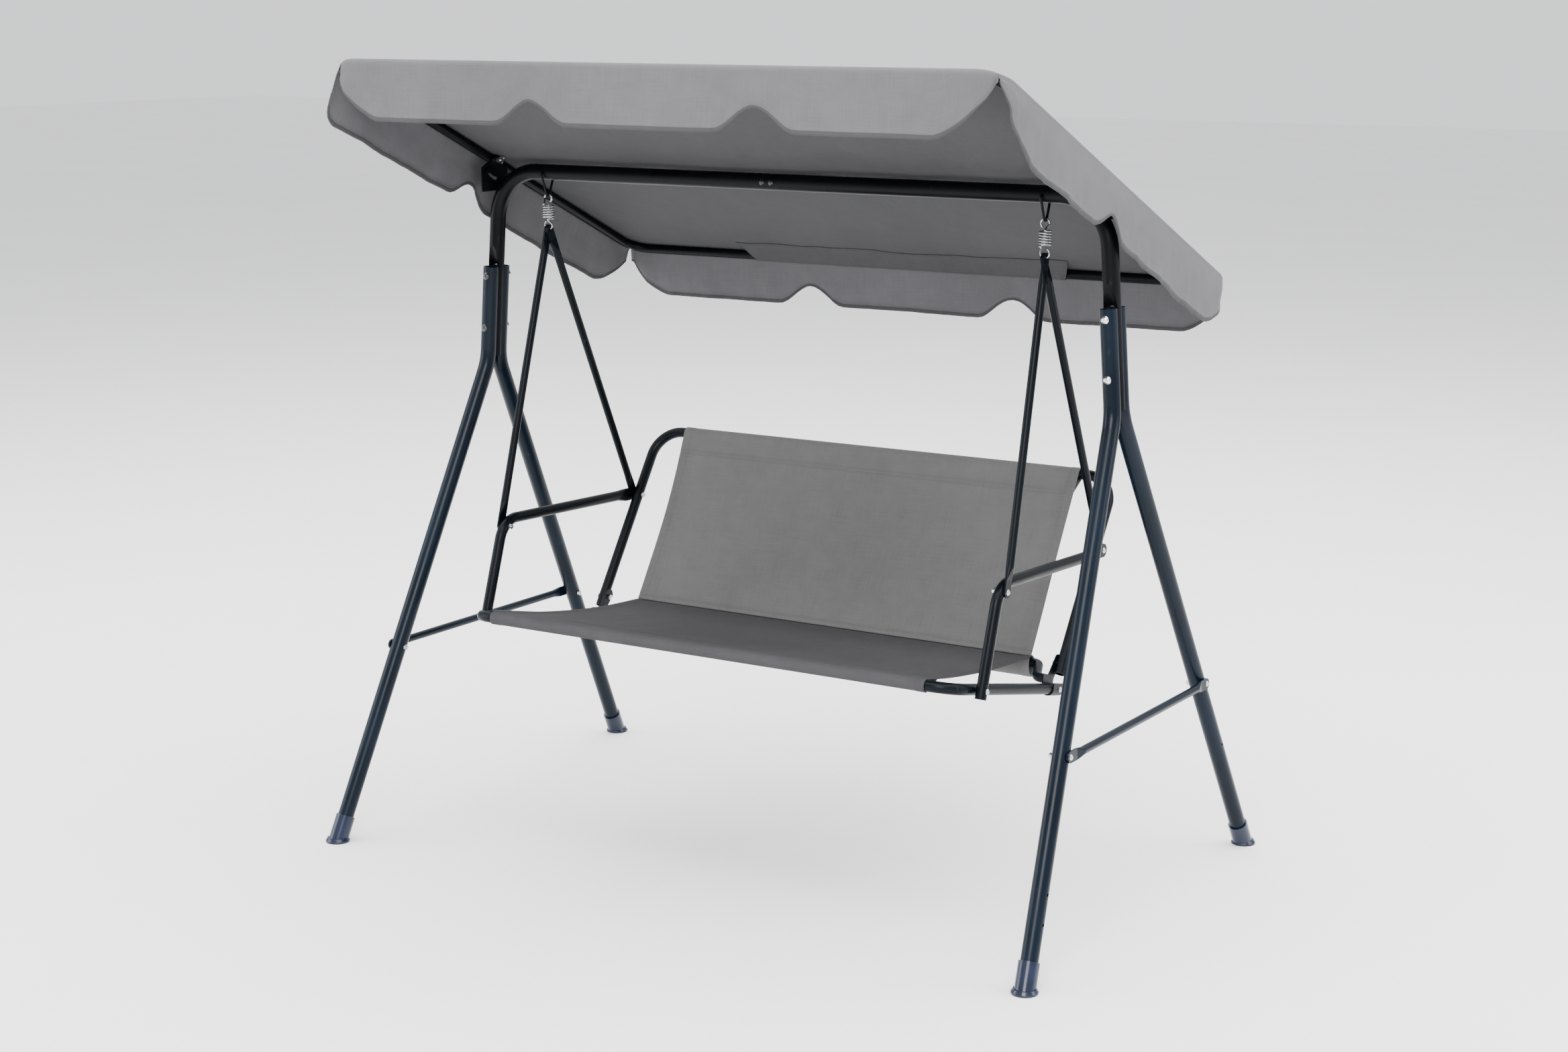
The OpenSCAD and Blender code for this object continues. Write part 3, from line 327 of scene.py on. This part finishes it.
# ---------------------------------------------------------------- mesh helpers
def finish_mesh(name, verts, faces, uvs, mats, face_mat, body, attrs=None):
    me = bpy.data.meshes.new(name)
    me.from_pydata([tuple(map(float, v)) for v in verts], [], faces)
    for mt in mats:
        me.materials.append(mt)
    me.polygons.foreach_set("material_index", face_mat)
    me.polygons.foreach_set("use_smooth", [True] * len(faces))
    if uvs is not None:
        layer = me.uv_layers.new(name="UVMap")
        loops = np.zeros(len(me.loops), int)
        me.loops.foreach_get("vertex_index", loops)
        layer.data.foreach_set("uv", np.asarray(uvs, float)[loops].ravel())
    for key, values in (attrs or {}).items():
        a = me.attributes.new(key, "FLOAT", "POINT")
        a.data.foreach_set("value", np.asarray(values, float))
    me.validate()
    me.update()
    o = bpy.data.objects.new(name, me)
    bpy.context.scene.collection.objects.link(o)
    if body:
        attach(o, body)
    return o


def normals_of(p):
    n = np.cross(np.gradient(p, axis=1), np.gradient(p, axis=0))
    return n / np.maximum(np.linalg.norm(n, axis=2, keepdims=True), 1e-12)


def shell(name, p, thick, u, v, seam, along, body, mats, edge_mask=None, out=1, under=None):
    """Closed thin shell round the grid p (rows, columns, 3). thick, u, v, seam and along are per grid point.
    edge_mask gives each point's material, and under the material of each row's inner faces."""
    rows, cols = p.shape[:2]
    n = normals_of(p) * out
    top = p + n * thick[..., None] / 2
    low = p - n * thick[..., None] / 2
    verts = np.concatenate([top.reshape(-1, 3), low.reshape(-1, 3)])
    k = rows * cols
    mask = edge_mask if edge_mask is not None else np.zeros((rows, cols), int)
    flat_mask = mask.reshape(-1)

    def idx(r, c):
        return r * cols + c

    def two(x):
        return np.concatenate([x.reshape(-1), x.reshape(-1)])

    faces, face_mat = [], []
    for r in range(rows - 1):
        for c in range(cols - 1):
            a, b, d, e = idx(r, c), idx(r, c + 1), idx(r + 1, c + 1), idx(r + 1, c)
            mi = int(min(flat_mask[i] for i in (a, b, d, e)))
            quad = (a, b, d, e) if out > 0 else (a, e, d, b)
            faces.append(quad)
            faces.append(tuple(k + x for x in reversed(quad)))
            face_mat += [mi, int(under[r]) if under is not None and mi == 0 else mi]
    rim = ([(idx(0, c), idx(0, c + 1)) for c in range(cols - 1)]
           + [(idx(r, cols - 1), idx(r + 1, cols - 1)) for r in range(rows - 1)]
           + [(idx(rows - 1, c + 1), idx(rows - 1, c)) for c in range(cols - 2, -1, -1)]
           + [(idx(r + 1, 0), idx(r, 0)) for r in range(rows - 2, -1, -1)])
    for a, b in rim:
        faces.append((b, a, k + a, k + b) if out > 0 else (a, b, k + b, k + a))
        face_mat.append(int(min(flat_mask[a], flat_mask[b])))
    uv = np.stack([two(u), two(v)], 1)
    return finish_mesh(name, verts, faces, uv, mats, face_mat, body, {"seam": two(seam), "along": two(along)})


def arc_lengths(p, axis):
    d = np.linalg.norm(np.diff(p, axis=axis), axis=2)
    z = np.zeros_like(np.take(d, [0], axis=axis))
    return np.concatenate([z, np.cumsum(d, axis=axis)], axis=axis)


def run_of(points):
    """Distance of each point of a line from its first one."""
    return np.concatenate([[0], np.cumsum(np.linalg.norm(np.diff(points, axis=0), axis=1))])


def waves(a, b, seed, octaves=4, base=1.0):
    """Smooth repeatable ripples over two lengths in metres, with base waves to a metre in the first octave."""
    rng = np.random.RandomState(seed)
    out = np.zeros(np.broadcast(a, b).shape)
    for i in range(octaves):
        f = base * 1.7 ** i
        th = rng.uniform(-0.5, 0.5)
        out += np.sin(2 * math.pi * f * (a * math.cos(th) + b * math.sin(th)) + rng.uniform(0, 6.28)) / 1.5 ** i
    return out / 2.0


def sweep(points, radius, sides=14):
    """Tube of round section along the points, closed at both ends."""
    pts = np.asarray(points, float)
    t = np.gradient(pts, axis=0)
    t /= np.linalg.norm(t, axis=1, keepdims=True)
    u = np.cross(t[0], np.array([0, 1, 0.013]))
    u /= np.linalg.norm(u)
    verts = []
    for i in range(len(pts)):
        u = u - t[i] * (u @ t[i])
        u /= np.linalg.norm(u)
        w = np.cross(t[i], u)
        for k in range(sides):
            a = 2 * math.pi * k / sides
            verts.append(pts[i] + radius * (math.cos(a) * u + math.sin(a) * w))
    faces = []
    for i in range(len(pts) - 1):
        for k in range(sides):
            a, b = i * sides + k, i * sides + (k + 1) % sides
            faces.append((a, b, b + sides, a + sides))
    faces.append(tuple(range(sides - 1, -1, -1)))
    faces.append(tuple((len(pts) - 1) * sides + k for k in range(sides)))
    return verts, faces


# ---------------------------------------------------------------- canopy
TILT = math.radians(24.0)
CT, ST = math.cos(TILT), math.sin(TILT)
PIVOT = np.array([0, -0.035, 1.386])
TUBE_X, TUBE_F, TUBE_R = 0.720, -0.512, 0.556  # centres of the side, front and rear tubes, in the canopy's plane
WRAP, WRAP_X = 0.0104, 0.0145  # how far the cloth lies from a tube's axis, and sideways at the side tubes
FRONT_TURN, REAR_TURN = 114, 66  # degrees round an end tube, from its top, to where the hanging edge starts
FULL, REAR_FULL = 0.108, 0.104  # full depth of the hanging edges
CLOTH, BINDING = 0.0013, 0.0027  # thickness of the cloth, and of it inside its binding
BINDING_FROM = 0.92  # the binding covers the rest of a hanging edge below this share of its depth
CORNER_R = 0.055  # rounding of the four corners, seen from above
OFF = 0.0014  # the side edges lie this far outside the cover


def to_row(p):
    """From the canopy's own plane to the frame of the part."""
    x, y, z = p[..., 0], p[..., 1], p[..., 2]
    return np.stack([x, y * CT + z * ST, -y * ST + z * CT], -1) + PIVOT


def depth(s, length, notches, cut0, cut1, full=FULL):
    """Depth of a hanging edge at distance s from its first end. A notch is (place, width, height), and a cut at
    an end is (length, depth where it starts)."""
    d = np.full_like(s, full)
    for c, w, h in notches:
        q = (s - c) / w
        d -= np.where(np.abs(q) < 0.5, h * (0.5 + 0.5 * np.cos(2 * math.pi * q)) ** 0.85, 0)
    for e, (length_cut, start) in ((s, cut0), (length - s, cut1)):
        q = np.clip(e / length_cut, 0, 1)
        d -= (full - start) * (1 - q) ** 1.5
    return np.maximum(d, 0.006)


def hang_rows(count):
    """Fractions down a hanging edge, with rows at the top of the binding."""
    return np.concatenate([np.linspace(0, BINDING_FROM - 0.008, count), [BINDING_FROM + 0.002, 0.96, 1.0]])


def rounded(p, base=None):
    """Moves points near the four corners inwards, so that the outline follows the bends of the tubes."""
    b = p if base is None else base
    ends = np.where(b[..., 1] < 0, WRAP - TUBE_F, TUBE_R + WRAP)
    k = np.clip(np.stack([(np.abs(b[..., 0]) - (TUBE_X + WRAP_X - CORNER_R)) / CORNER_R,
                          (np.abs(b[..., 1]) - (ends - CORNER_R)) / CORNER_R], -1), 0, 1)
    s = k.max(-1) / np.maximum(np.linalg.norm(k, axis=-1), 1e-9)
    p[..., :2] -= np.sign(b[..., :2]) * k * (1 - np.minimum(s, 1))[..., None] * CORNER_R
    return p


def top_z(x, u, y):
    """Height of the top sheet above the frame's plane: sag and soft wrinkles, u being x along the cloth."""
    ty = (y - TUBE_F) / (TUBE_R - TUBE_F)
    inner = np.clip(1 - (x / 0.695) ** 2, 0, 1) ** 0.7 * np.clip(4 * ty * (1 - ty), 0, 1) ** 0.7
    bar = 1 - 0.55 * np.exp(-((y - 0.01) / 0.12) ** 2)  # less sag above the top bar
    rip = waves(u * 0.9, np.full_like(u, y), 5, 4, 1.6) * 0.0024
    rip += waves(u * 2.2 + y * 1.4, np.full_like(u, y) * 0.6, 9, 3, 2.4) * 0.0014
    return rip * np.clip(inner * 3, 0, 1) - 0.0065 * inner * bar


def main_cover():
    """Top sheet with the front and rear hanging edges, in one piece."""
    beta = np.radians([78, 62, 44, 24])  # how far each outer column goes round the side tubes
    flat_cols = np.linspace(-TUBE_X, TUBE_X, 121)
    xc = np.concatenate([np.full(4, -TUBE_X), flat_cols, np.full(4, TUBE_X)])
    bt = np.concatenate([-beta, np.zeros(len(flat_cols)), beta[::-1]])
    sx, cx = np.sin(bt) * WRAP_X, np.cos(bt)
    x_flat = xc + WRAP_X * np.sin(bt)
    frac = hang_rows(14)
    rows = [("f", t) for t in frac[::-1][:-1]] + [("fw", a) for a in np.linspace(FRONT_TURN, 8, 9)]
    rows += [("t", y) for y in np.linspace(TUBE_F, TUBE_R, 60)]
    rows += [("rw", a) for a in np.linspace(8, REAR_TURN, 6)] + [("r", t) for t in frac[1:]]
    s = x_flat + TUBE_X + WRAP_X
    length = 2 * (TUBE_X + WRAP_X)
    mid = length / 2
    drop = {"f": depth(s, length, [(mid - 0.247, 0.168, 0.046), (mid + 0.247, 0.168, 0.046)],
                       (0.115, 0.010), (0.125, 0.006)),
            "r": depth(s, length, [(mid - 0.250, 0.160, 0.042), (mid + 0.250, 0.160, 0.042)],
                       (0.105, 0.034), (0.105, 0.034), REAR_FULL)}
    seeds = {"f": (21, 47), "r": (33, 51)}
    grid, thick, mask = [], [], []
    for kind, q in rows:
        hangs = kind in ("f", "r")
        bound = hangs and q > BINDING_FROM
        if kind in ("f", "fw"):
            al = math.radians(FRONT_TURN if hangs else q)
            y0, fy, fz = TUBE_F, -math.sin(al), math.cos(al)
        elif kind in ("r", "rw"):
            al = math.radians(REAR_TURN if hangs else q)
            y0, fy, fz = TUBE_R, math.sin(al), math.cos(al)
        else:
            y0, fy, fz = q, 0.0, 1.0
        p = np.stack([xc + sx, y0 + WRAP * cx * fy, WRAP * cx * fz], -1)
        if kind == "t":
            p[:, 2] += top_z(xc, x_flat, q)
        w = to_row(rounded(p))
        if hangs:
            sign = -1 if kind == "f" else 1
            w[:, 2] -= drop[kind] * q
            fade = np.clip(q * 1.2, 0, 1) ** 1.3
            end = np.clip(np.minimum(s, length - s) / 0.05, 0, 1)
            broad, fine = seeds[kind]
            rip = waves(x_flat, np.full_like(x_flat, 0.1 * q), broad, 4, 1.3) * 0.0080
            rip += waves(x_flat, np.full_like(x_flat, 0.2 * q), fine, 4, 6.5) * 0.0034
            w[:, 1] += sign * (0.0015 * q + rip * fade * end + 0.001 * fade)
        grid.append(w)
        thick.append(np.full_like(x_flat, BINDING if bound else CLOTH))
        mask.append([int(bound)] * len(xc))
    p = np.array(grid)
    u = np.broadcast_to(x_flat, p.shape[:2]).copy()
    v = arc_lengths(p, 0)
    kinds = [k for k, _ in rows]
    first_top = kinds.index("t")
    last_top = len(kinds) - 1 - kinds[::-1].index("t")
    # stitches: 12 mm inside each end of the top sheet, and 4.5 mm from each free edge
    seam = np.minimum(np.abs(v - v[[first_top]] - 0.012), np.abs(v - v[[last_top]] + 0.012))
    for e in (0, len(rows) - 1):
        seam = np.minimum(seam, np.abs(np.abs(v - v[[e]]) - 0.0045))
    # The inner faces of the top sheet and its wraps get the darker underside cloth, which is painted shade under the
    # canopy.
    o = shell("canopy_cover", p, np.array(thick), u, v, seam, u + v * 0.02, "canopy",
              [MAT["canopy"], MAT["binding"], MAT["canopy_under_painted_shade"]], np.array(mask),
              under=[2 if k in ("t", "fw", "rw") else 0 for k in kinds])
    return o, p


def side_valance(side, cut_front, seed):
    """Hanging edge along one side tube, sewn under the rim of the cover."""
    sign = -1 if side == "left" else 1
    y_cols = np.linspace(TUBE_F - 0.006, TUBE_R + 0.005, 111)
    s = y_cols - y_cols[0]
    length = s[-1]
    notch_at = -TUBE_F - 0.025 + 0.006
    d = depth(s, length, [(notch_at, 0.135, 0.040)], cut_front, (0.100, 0.036), FULL)
    rows = [("w", b) for b in (52, 62, 72, 81, 90)] + [("h", t) for t in hang_rows(13)[1:]]
    grid, thick, mask = [], [], []
    for kind, q in rows:
        hangs = kind == "h"
        bound = hangs and q > BINDING_FROM
        b = math.radians(90 if hangs else q)
        p = np.stack([np.full_like(s, TUBE_X + (WRAP_X + OFF) * math.sin(b)), y_cols,
                      np.full_like(s, (WRAP + OFF) * math.cos(b))], -1)
        if hangs:
            end = np.clip(np.minimum(s, length - s) / 0.05, 0.15, 1)
            rip = waves(s, np.full_like(s, 0.1 * q), seed, 4, 1.4) * 0.0065
            rip += waves(s + 0.25 * d * q, np.full_like(s, 0.2 * q), seed + 4, 4, 7.0) * 0.0032
            p[:, 0] += 0.0035 * min(q * 3, 1) + (rip + 0.0020) * np.clip(q, 0, 1) ** 1.3 * end
            p[:, 2] -= d * q
        base = p.copy()
        base[:, 0] = TUBE_X + WRAP_X * math.sin(b)
        p = rounded(p, base)
        p[:, 0] *= sign
        grid.append(to_row(p))
        thick.append(np.full_like(s, BINDING if bound else CLOTH))
        mask.append([int(bound)] * len(s))
    p = np.array(grid)
    u = np.broadcast_to(s, p.shape[:2]).copy()
    v = arc_lengths(p, 0)
    seam = np.minimum(np.abs(v - 0.006), np.abs(v[[-1]] - v - 0.0045))
    o = shell(f"canopy_side_edge_{side}", p, np.array(thick), u, v, seam, u, "canopy",
              [MAT["canopy"], MAT["binding"]], np.array(mask), out=-sign)
    return o, p


def pocket_sleeve(name, tube_y, direction, last_angle):
    """Sleeve sewn to the underside of the cover that holds an end tube. Its ends are slanted."""
    r, half, slant, gap = 0.0108, 0.372, 0.034, WRAP - 0.0015
    start = tube_y - direction * 0.062
    prof = [(start, gap)]
    prof += [(start + direction * 0.052 * q, gap - 0.0176 * q ** 1.6) for q in np.linspace(0.1, 0.9, 6)]
    for a in np.radians(np.linspace(250, last_angle, 9)):
        prof.append((tube_y + direction * r * math.cos(a), r * math.sin(a)))
    run = run_of(np.array(prof))
    f = run / run[-1]
    cols = np.linspace(-1, 1, 61)
    p = np.zeros((len(prof), len(cols), 3))
    for i, (y, z) in enumerate(prof):
        x = cols * (half + slant * (1 - f[i]))
        p[i, :, 0] = x
        p[i, :, 1] = y
        p[i, :, 2] = z + top_z(x, x, y) * max(0.0, 1 - 1.3 * f[i] ** 2)
        p[i, :, 2] -= (waves(x, np.full_like(cols, f[i]), 81, 3, 3.0) + 1) * 0.0006 * math.sin(math.pi * f[i])
    p = to_row(p)
    u, v = p[..., 0].copy(), np.broadcast_to(run[:, None], p.shape[:2]).copy()
    seam = np.minimum(np.abs(v - 0.004), np.abs(np.abs(u) - (half + slant * (1 - f[:, None])) + 0.006))
    # The sleeve uses the darker underside cloth, which is painted shade under the canopy.
    o = shell(name, p, np.full(p.shape[:2], 0.0012), u, v, seam, u, "canopy",
              [MAT["canopy_under_painted_shade"]], out=-direction)
    return o, p


cover, cover_grid = main_cover()
edge_l, grid_l = side_valance("left", (0.060, 0.062), 61)
edge_r, grid_r = side_valance("right", (0.185, 0.008), 73)
sleeve_r, grid_sr = pocket_sleeve("canopy_sleeve_rear", TUBE_R, 1, 354)
sleeve_f, grid_sf = pocket_sleeve("canopy_sleeve_front", TUBE_F, -1, 309)
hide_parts("canopy_fabric")


# ---------------------------------------------------------------- slings
RAIL_Y, RAIL_Z = -0.331, 0.481  # front tube of the seat frame
TOP_Y, TOP_Z = 0.344, 0.770  # top tube of the back frame
JY, JZ = 0.1500, 0.4285  # fold between seat and back
R_W = 0.0120  # radius of the cloth round the frame tubes
HEM, HEM_T, SLING_T = 0.019, 0.0026, 0.0014  # width and thickness of the hems, thickness of the cloth
STEP, COLS = 0.0035, 99  # grid of a sling


def resample(points, step):
    pts = np.array(points, float)
    run = run_of(pts)
    n = max(int(round(run[-1] / step)), 4)
    q = np.linspace(0, run[-1], n + 1)
    return np.stack([np.interp(q, run, pts[:, i]) for i in range(pts.shape[1])], 1)


def arc(cy, cz, r, a0, a1, n):
    return [(cy + r * math.cos(math.radians(a)), cz + r * math.sin(math.radians(a))) for a in np.linspace(a0, a1, n)]


def tangent(cy, cz, r, py, pz, side):
    """Angle on the circle, in degrees, where the straight line from the point p touches it."""
    a = math.atan2(pz - cz, py - cy)
    return math.degrees(a + side * math.acos(r / math.hypot(py - cy, pz - cz)))


def seat_profile():
    """From the pocket's seam under the seat, round the front tube and back to the fold."""
    start = (RAIL_Y + 0.052, RAIL_Z + R_W - 0.007 - 0.0026)
    a0 = tangent(RAIL_Y, RAIL_Z, R_W, start[0], start[1], -1) % 360
    a1 = tangent(RAIL_Y, RAIL_Z, R_W, JY, JZ, 1) % 360
    if a0 < a1:
        a0 += 360
    pts = [start] + arc(RAIL_Y, RAIL_Z, R_W, a0, a1, 22)
    y0, z0 = pts[-1]
    for q in np.linspace(0, 1, 40)[1:]:
        sag = 0.010 * 4 * q * (1 - q)
        pts.append((y0 + (JY - 0.0012 - y0) * q, z0 + (JZ - z0) * q - sag))
    return pts


def loop_profile():
    """Loop below the fold that holds the cross tube, with its corners cut three times."""
    pts = [(JY - 0.0005, JZ - 0.0015), (0.1470, 0.4170), (0.1462, 0.4040), (0.1500, 0.3915), (0.1575, 0.3850),
           (0.1660, 0.3856), (0.1728, 0.3925), (0.1752, 0.4050), (0.1725, 0.4190), (0.1610, 0.4280), (0.1535, 0.4300)]
    p = np.array(pts)
    for _ in range(3):
        q = np.empty((2 * len(p) - 2, 2))
        q[0::2] = 0.75 * p[:-1] + 0.25 * p[1:]
        q[1::2] = 0.25 * p[:-1] + 0.75 * p[1:]
        p = np.concatenate([p[:1], q, p[-1:]])
    return p.tolist()


def back_profile():
    """From the fold up the back, over the top tube and down to the pocket's seam behind."""
    front = tangent(TOP_Y, TOP_Z, R_W, JY, JZ, -1) % 360
    fy, fz = TOP_Y + R_W * math.cos(math.radians(front)), TOP_Z + R_W * math.sin(math.radians(front))
    up_y, up_z = 0.468, 0.884  # direction of the back
    pts = []
    for q in np.linspace(0, 1, 44):
        sag = 0.007 * 4 * q * (1 - q)
        pts.append((JY + 0.0010 + (fy - JY - 0.0010) * q + sag * 0.87,
                    JZ + 0.0010 + (fz - JZ - 0.0010) * q - sag * 0.47))
    end = (fy - 0.040 * up_y + 0.0035 * up_z, fz - 0.040 * up_z - 0.0035 * up_y)
    rear = tangent(TOP_Y, TOP_Z, R_W, end[0], end[1], 1) % 360
    a1 = rear - 360 if rear > front else rear
    pts += arc(TOP_Y, TOP_Z, R_W, front, a1, 22)[1:] + [end]
    return pts


def sling_piece(name, profile, half_width, seams, seed, mat, amp=0.0022):
    """Sheet that follows a side profile, with hems along both edges and ripples where it hangs free."""
    prof = resample(profile, STEP)
    run = run_of(prof)
    base = np.linspace(-1, 1, COLS)
    inner = np.sign(base) * np.abs(base) ** 0.97
    rows = len(prof)
    t = np.gradient(prof, axis=0)
    t /= np.linalg.norm(t, axis=1, keepdims=True)
    nrm = np.stack([-t[:, 1], t[:, 0]], 1)
    p = np.zeros((rows, COLS, 3))
    hw_all = np.zeros((rows, COLS))
    for i in range(rows):
        hw = half_width(*prof[i])
        x = inner * hw
        # grid columns within the hem, and two on its edge
        for k, inset in enumerate((HEM * 0.35, HEM * 0.7, HEM, HEM + 0.0012), 1):
            x[k], x[-1 - k] = -(hw - inset), hw - inset
        free = 0.25
        if run[-1] > 0.3:
            free = math.sin(math.pi * min(max((run[i] - 0.07) / (run[-1] - 0.14), 0), 1))
        ripple = waves(x * 1.2, np.full_like(x, run[i]), seed, 4, 1.5) * amp
        ripple += waves(x * 4.0, np.full_like(x, run[i] * 0.5), seed + 3, 3, 2.2) * amp * 0.25
        off = ripple * free
        p[i, :, 0] = x
        p[i, :, 1] = prof[i, 0] + nrm[i, 0] * off
        p[i, :, 2] = prof[i, 1] + nrm[i, 1] * off
        hw_all[i] = hw
    edge = hw_all - np.abs(p[..., 0])
    # the left edge sits up to 13 mm further out towards the fold
    fold = np.exp(-((prof[:, 0] - JY) / 0.14) ** 2)[:, None]
    p[..., 0] += np.clip(p[..., 0] / hw_all, -1, 0) * 0.013 * fold
    thick = np.where(edge < HEM + 0.0003, HEM_T, SLING_T)
    u = p[..., 0].copy()
    v = np.broadcast_to(run[:, None], u.shape).copy()
    seam = np.minimum(np.abs(edge - HEM + 0.003), np.abs(edge - 0.003))
    cross = np.full_like(seam, 1.0)
    for sv in seams:
        cross = np.minimum(cross, np.abs(v - sv))
    along = np.where(cross < seam, u, v)
    seam = np.minimum(seam, cross)
    o = shell(name, p, thick, u, v, seam, along, "bench", [MAT[mat]], out=-1)
    return o, p, run[-1]


def seat_half(y, z):
    k = min(max((y - RAIL_Y) / (JY - RAIL_Y), 0), 1)
    return 0.505 - 0.030 * k - 0.004 * 4 * k * (1 - k)


def back_half(y, z):
    k = min(max((z - JZ) / (TOP_Z - JZ), 0), 1)
    return 0.4745 + 0.0085 * k - 0.003 * 4 * k * (1 - k)


def loop_half(y, z):
    return 0.472


seat, seat_grid, seat_len = sling_piece("seat_cloth", seat_profile(), seat_half, [0.006, 0.145], 11, "sling_seat_painted_shade")
back, back_grid, back_len = sling_piece("back_cloth", back_profile(), back_half, [0.010, 0.345, 0.350], 17,
                                        "sling_back")
loop, loop_grid, loop_len = sling_piece("sling_loop", loop_profile(), loop_half, [0.005, 0.012], 23, "sling_back",
                                        amp=0.0012)
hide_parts("seat_sling")
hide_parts("back_sling")

# ---------------------------------------------------------------- springs
LINK_ROD = 1.3145  # height of the link's wire where the spring hangs
LINK_R, HOOK_GAP = 0.0025, 0.00043  # radius of that wire, and the clearance of the hook on it
WIRE, HOOK, COIL_D, TURNS, PITCH = 0.0036, 0.0092, 0.0255, 6, 0.005  # HOOK is a radius, COIL_D the outside
HOOK_TOP = LINK_ROD + LINK_R + WIRE / 2 + HOOK_GAP
COIL_TOP = HOOK_TOP - 2 * HOOK - WIRE
COIL_LOW = COIL_TOP - TURNS * PITCH
HOOK_LOW = COIL_LOW - 2 * HOOK - WIRE
SPRING_X, SPRING_Y = 0.578, -0.028
COIL_STEPS = 32  # points in a turn


def hook_arc(centre_z, a0, a1):
    return [(HOOK * math.sin(a), 0, centre_z + HOOK * math.cos(a)) for a in np.radians(np.linspace(a0, a1, 26))]


def spring_points():
    """Centre line of a spring: upper hook, coil and lower hook, smoothed twice."""
    cr = (COIL_D - WIRE) / 2
    key = hook_arc(HOOK_TOP - HOOK, -150, 100)
    key += [(HOOK * 0.75, -cr * 0.3, HOOK_TOP - 1.75 * HOOK), (cr * 0.1, -cr * 0.86, COIL_TOP + 0.0012)]
    for i in range(2, TURNS * COIL_STEPS - 1):
        a = 2 * math.pi * i / COIL_STEPS
        key.append((cr * math.sin(a), -cr * math.cos(a), COIL_TOP - PITCH * i / COIL_STEPS))
    key += [(-cr * 0.1, -cr * 0.86, COIL_LOW - 0.0012), (-HOOK * 0.75, -cr * 0.3, HOOK_LOW + 1.75 * HOOK)]
    key += hook_arc(HOOK_LOW + HOOK, -80, -330)
    p = np.array(key)
    for _ in range(2):
        q = p.copy()
        q[1:-1] = 0.25 * p[:-2] + 0.5 * p[1:-1] + 0.25 * p[2:]
        p = q
    return p


for side, sx in (("left", -1), ("right", 1)):
    pts = spring_points()
    pts[:, 0] = sx * (SPRING_X + pts[:, 0])
    pts[:, 1] += SPRING_Y
    verts, faces = sweep(pts, WIRE / 2)
    if sx < 0:
        faces = [tuple(reversed(f)) for f in faces]
    o = finish_mesh(f"spring_wire_{side}", verts, faces, None, [MAT["chrome"]], [0] * len(faces), None)
    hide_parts(f"{side}_spring")
    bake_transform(o)
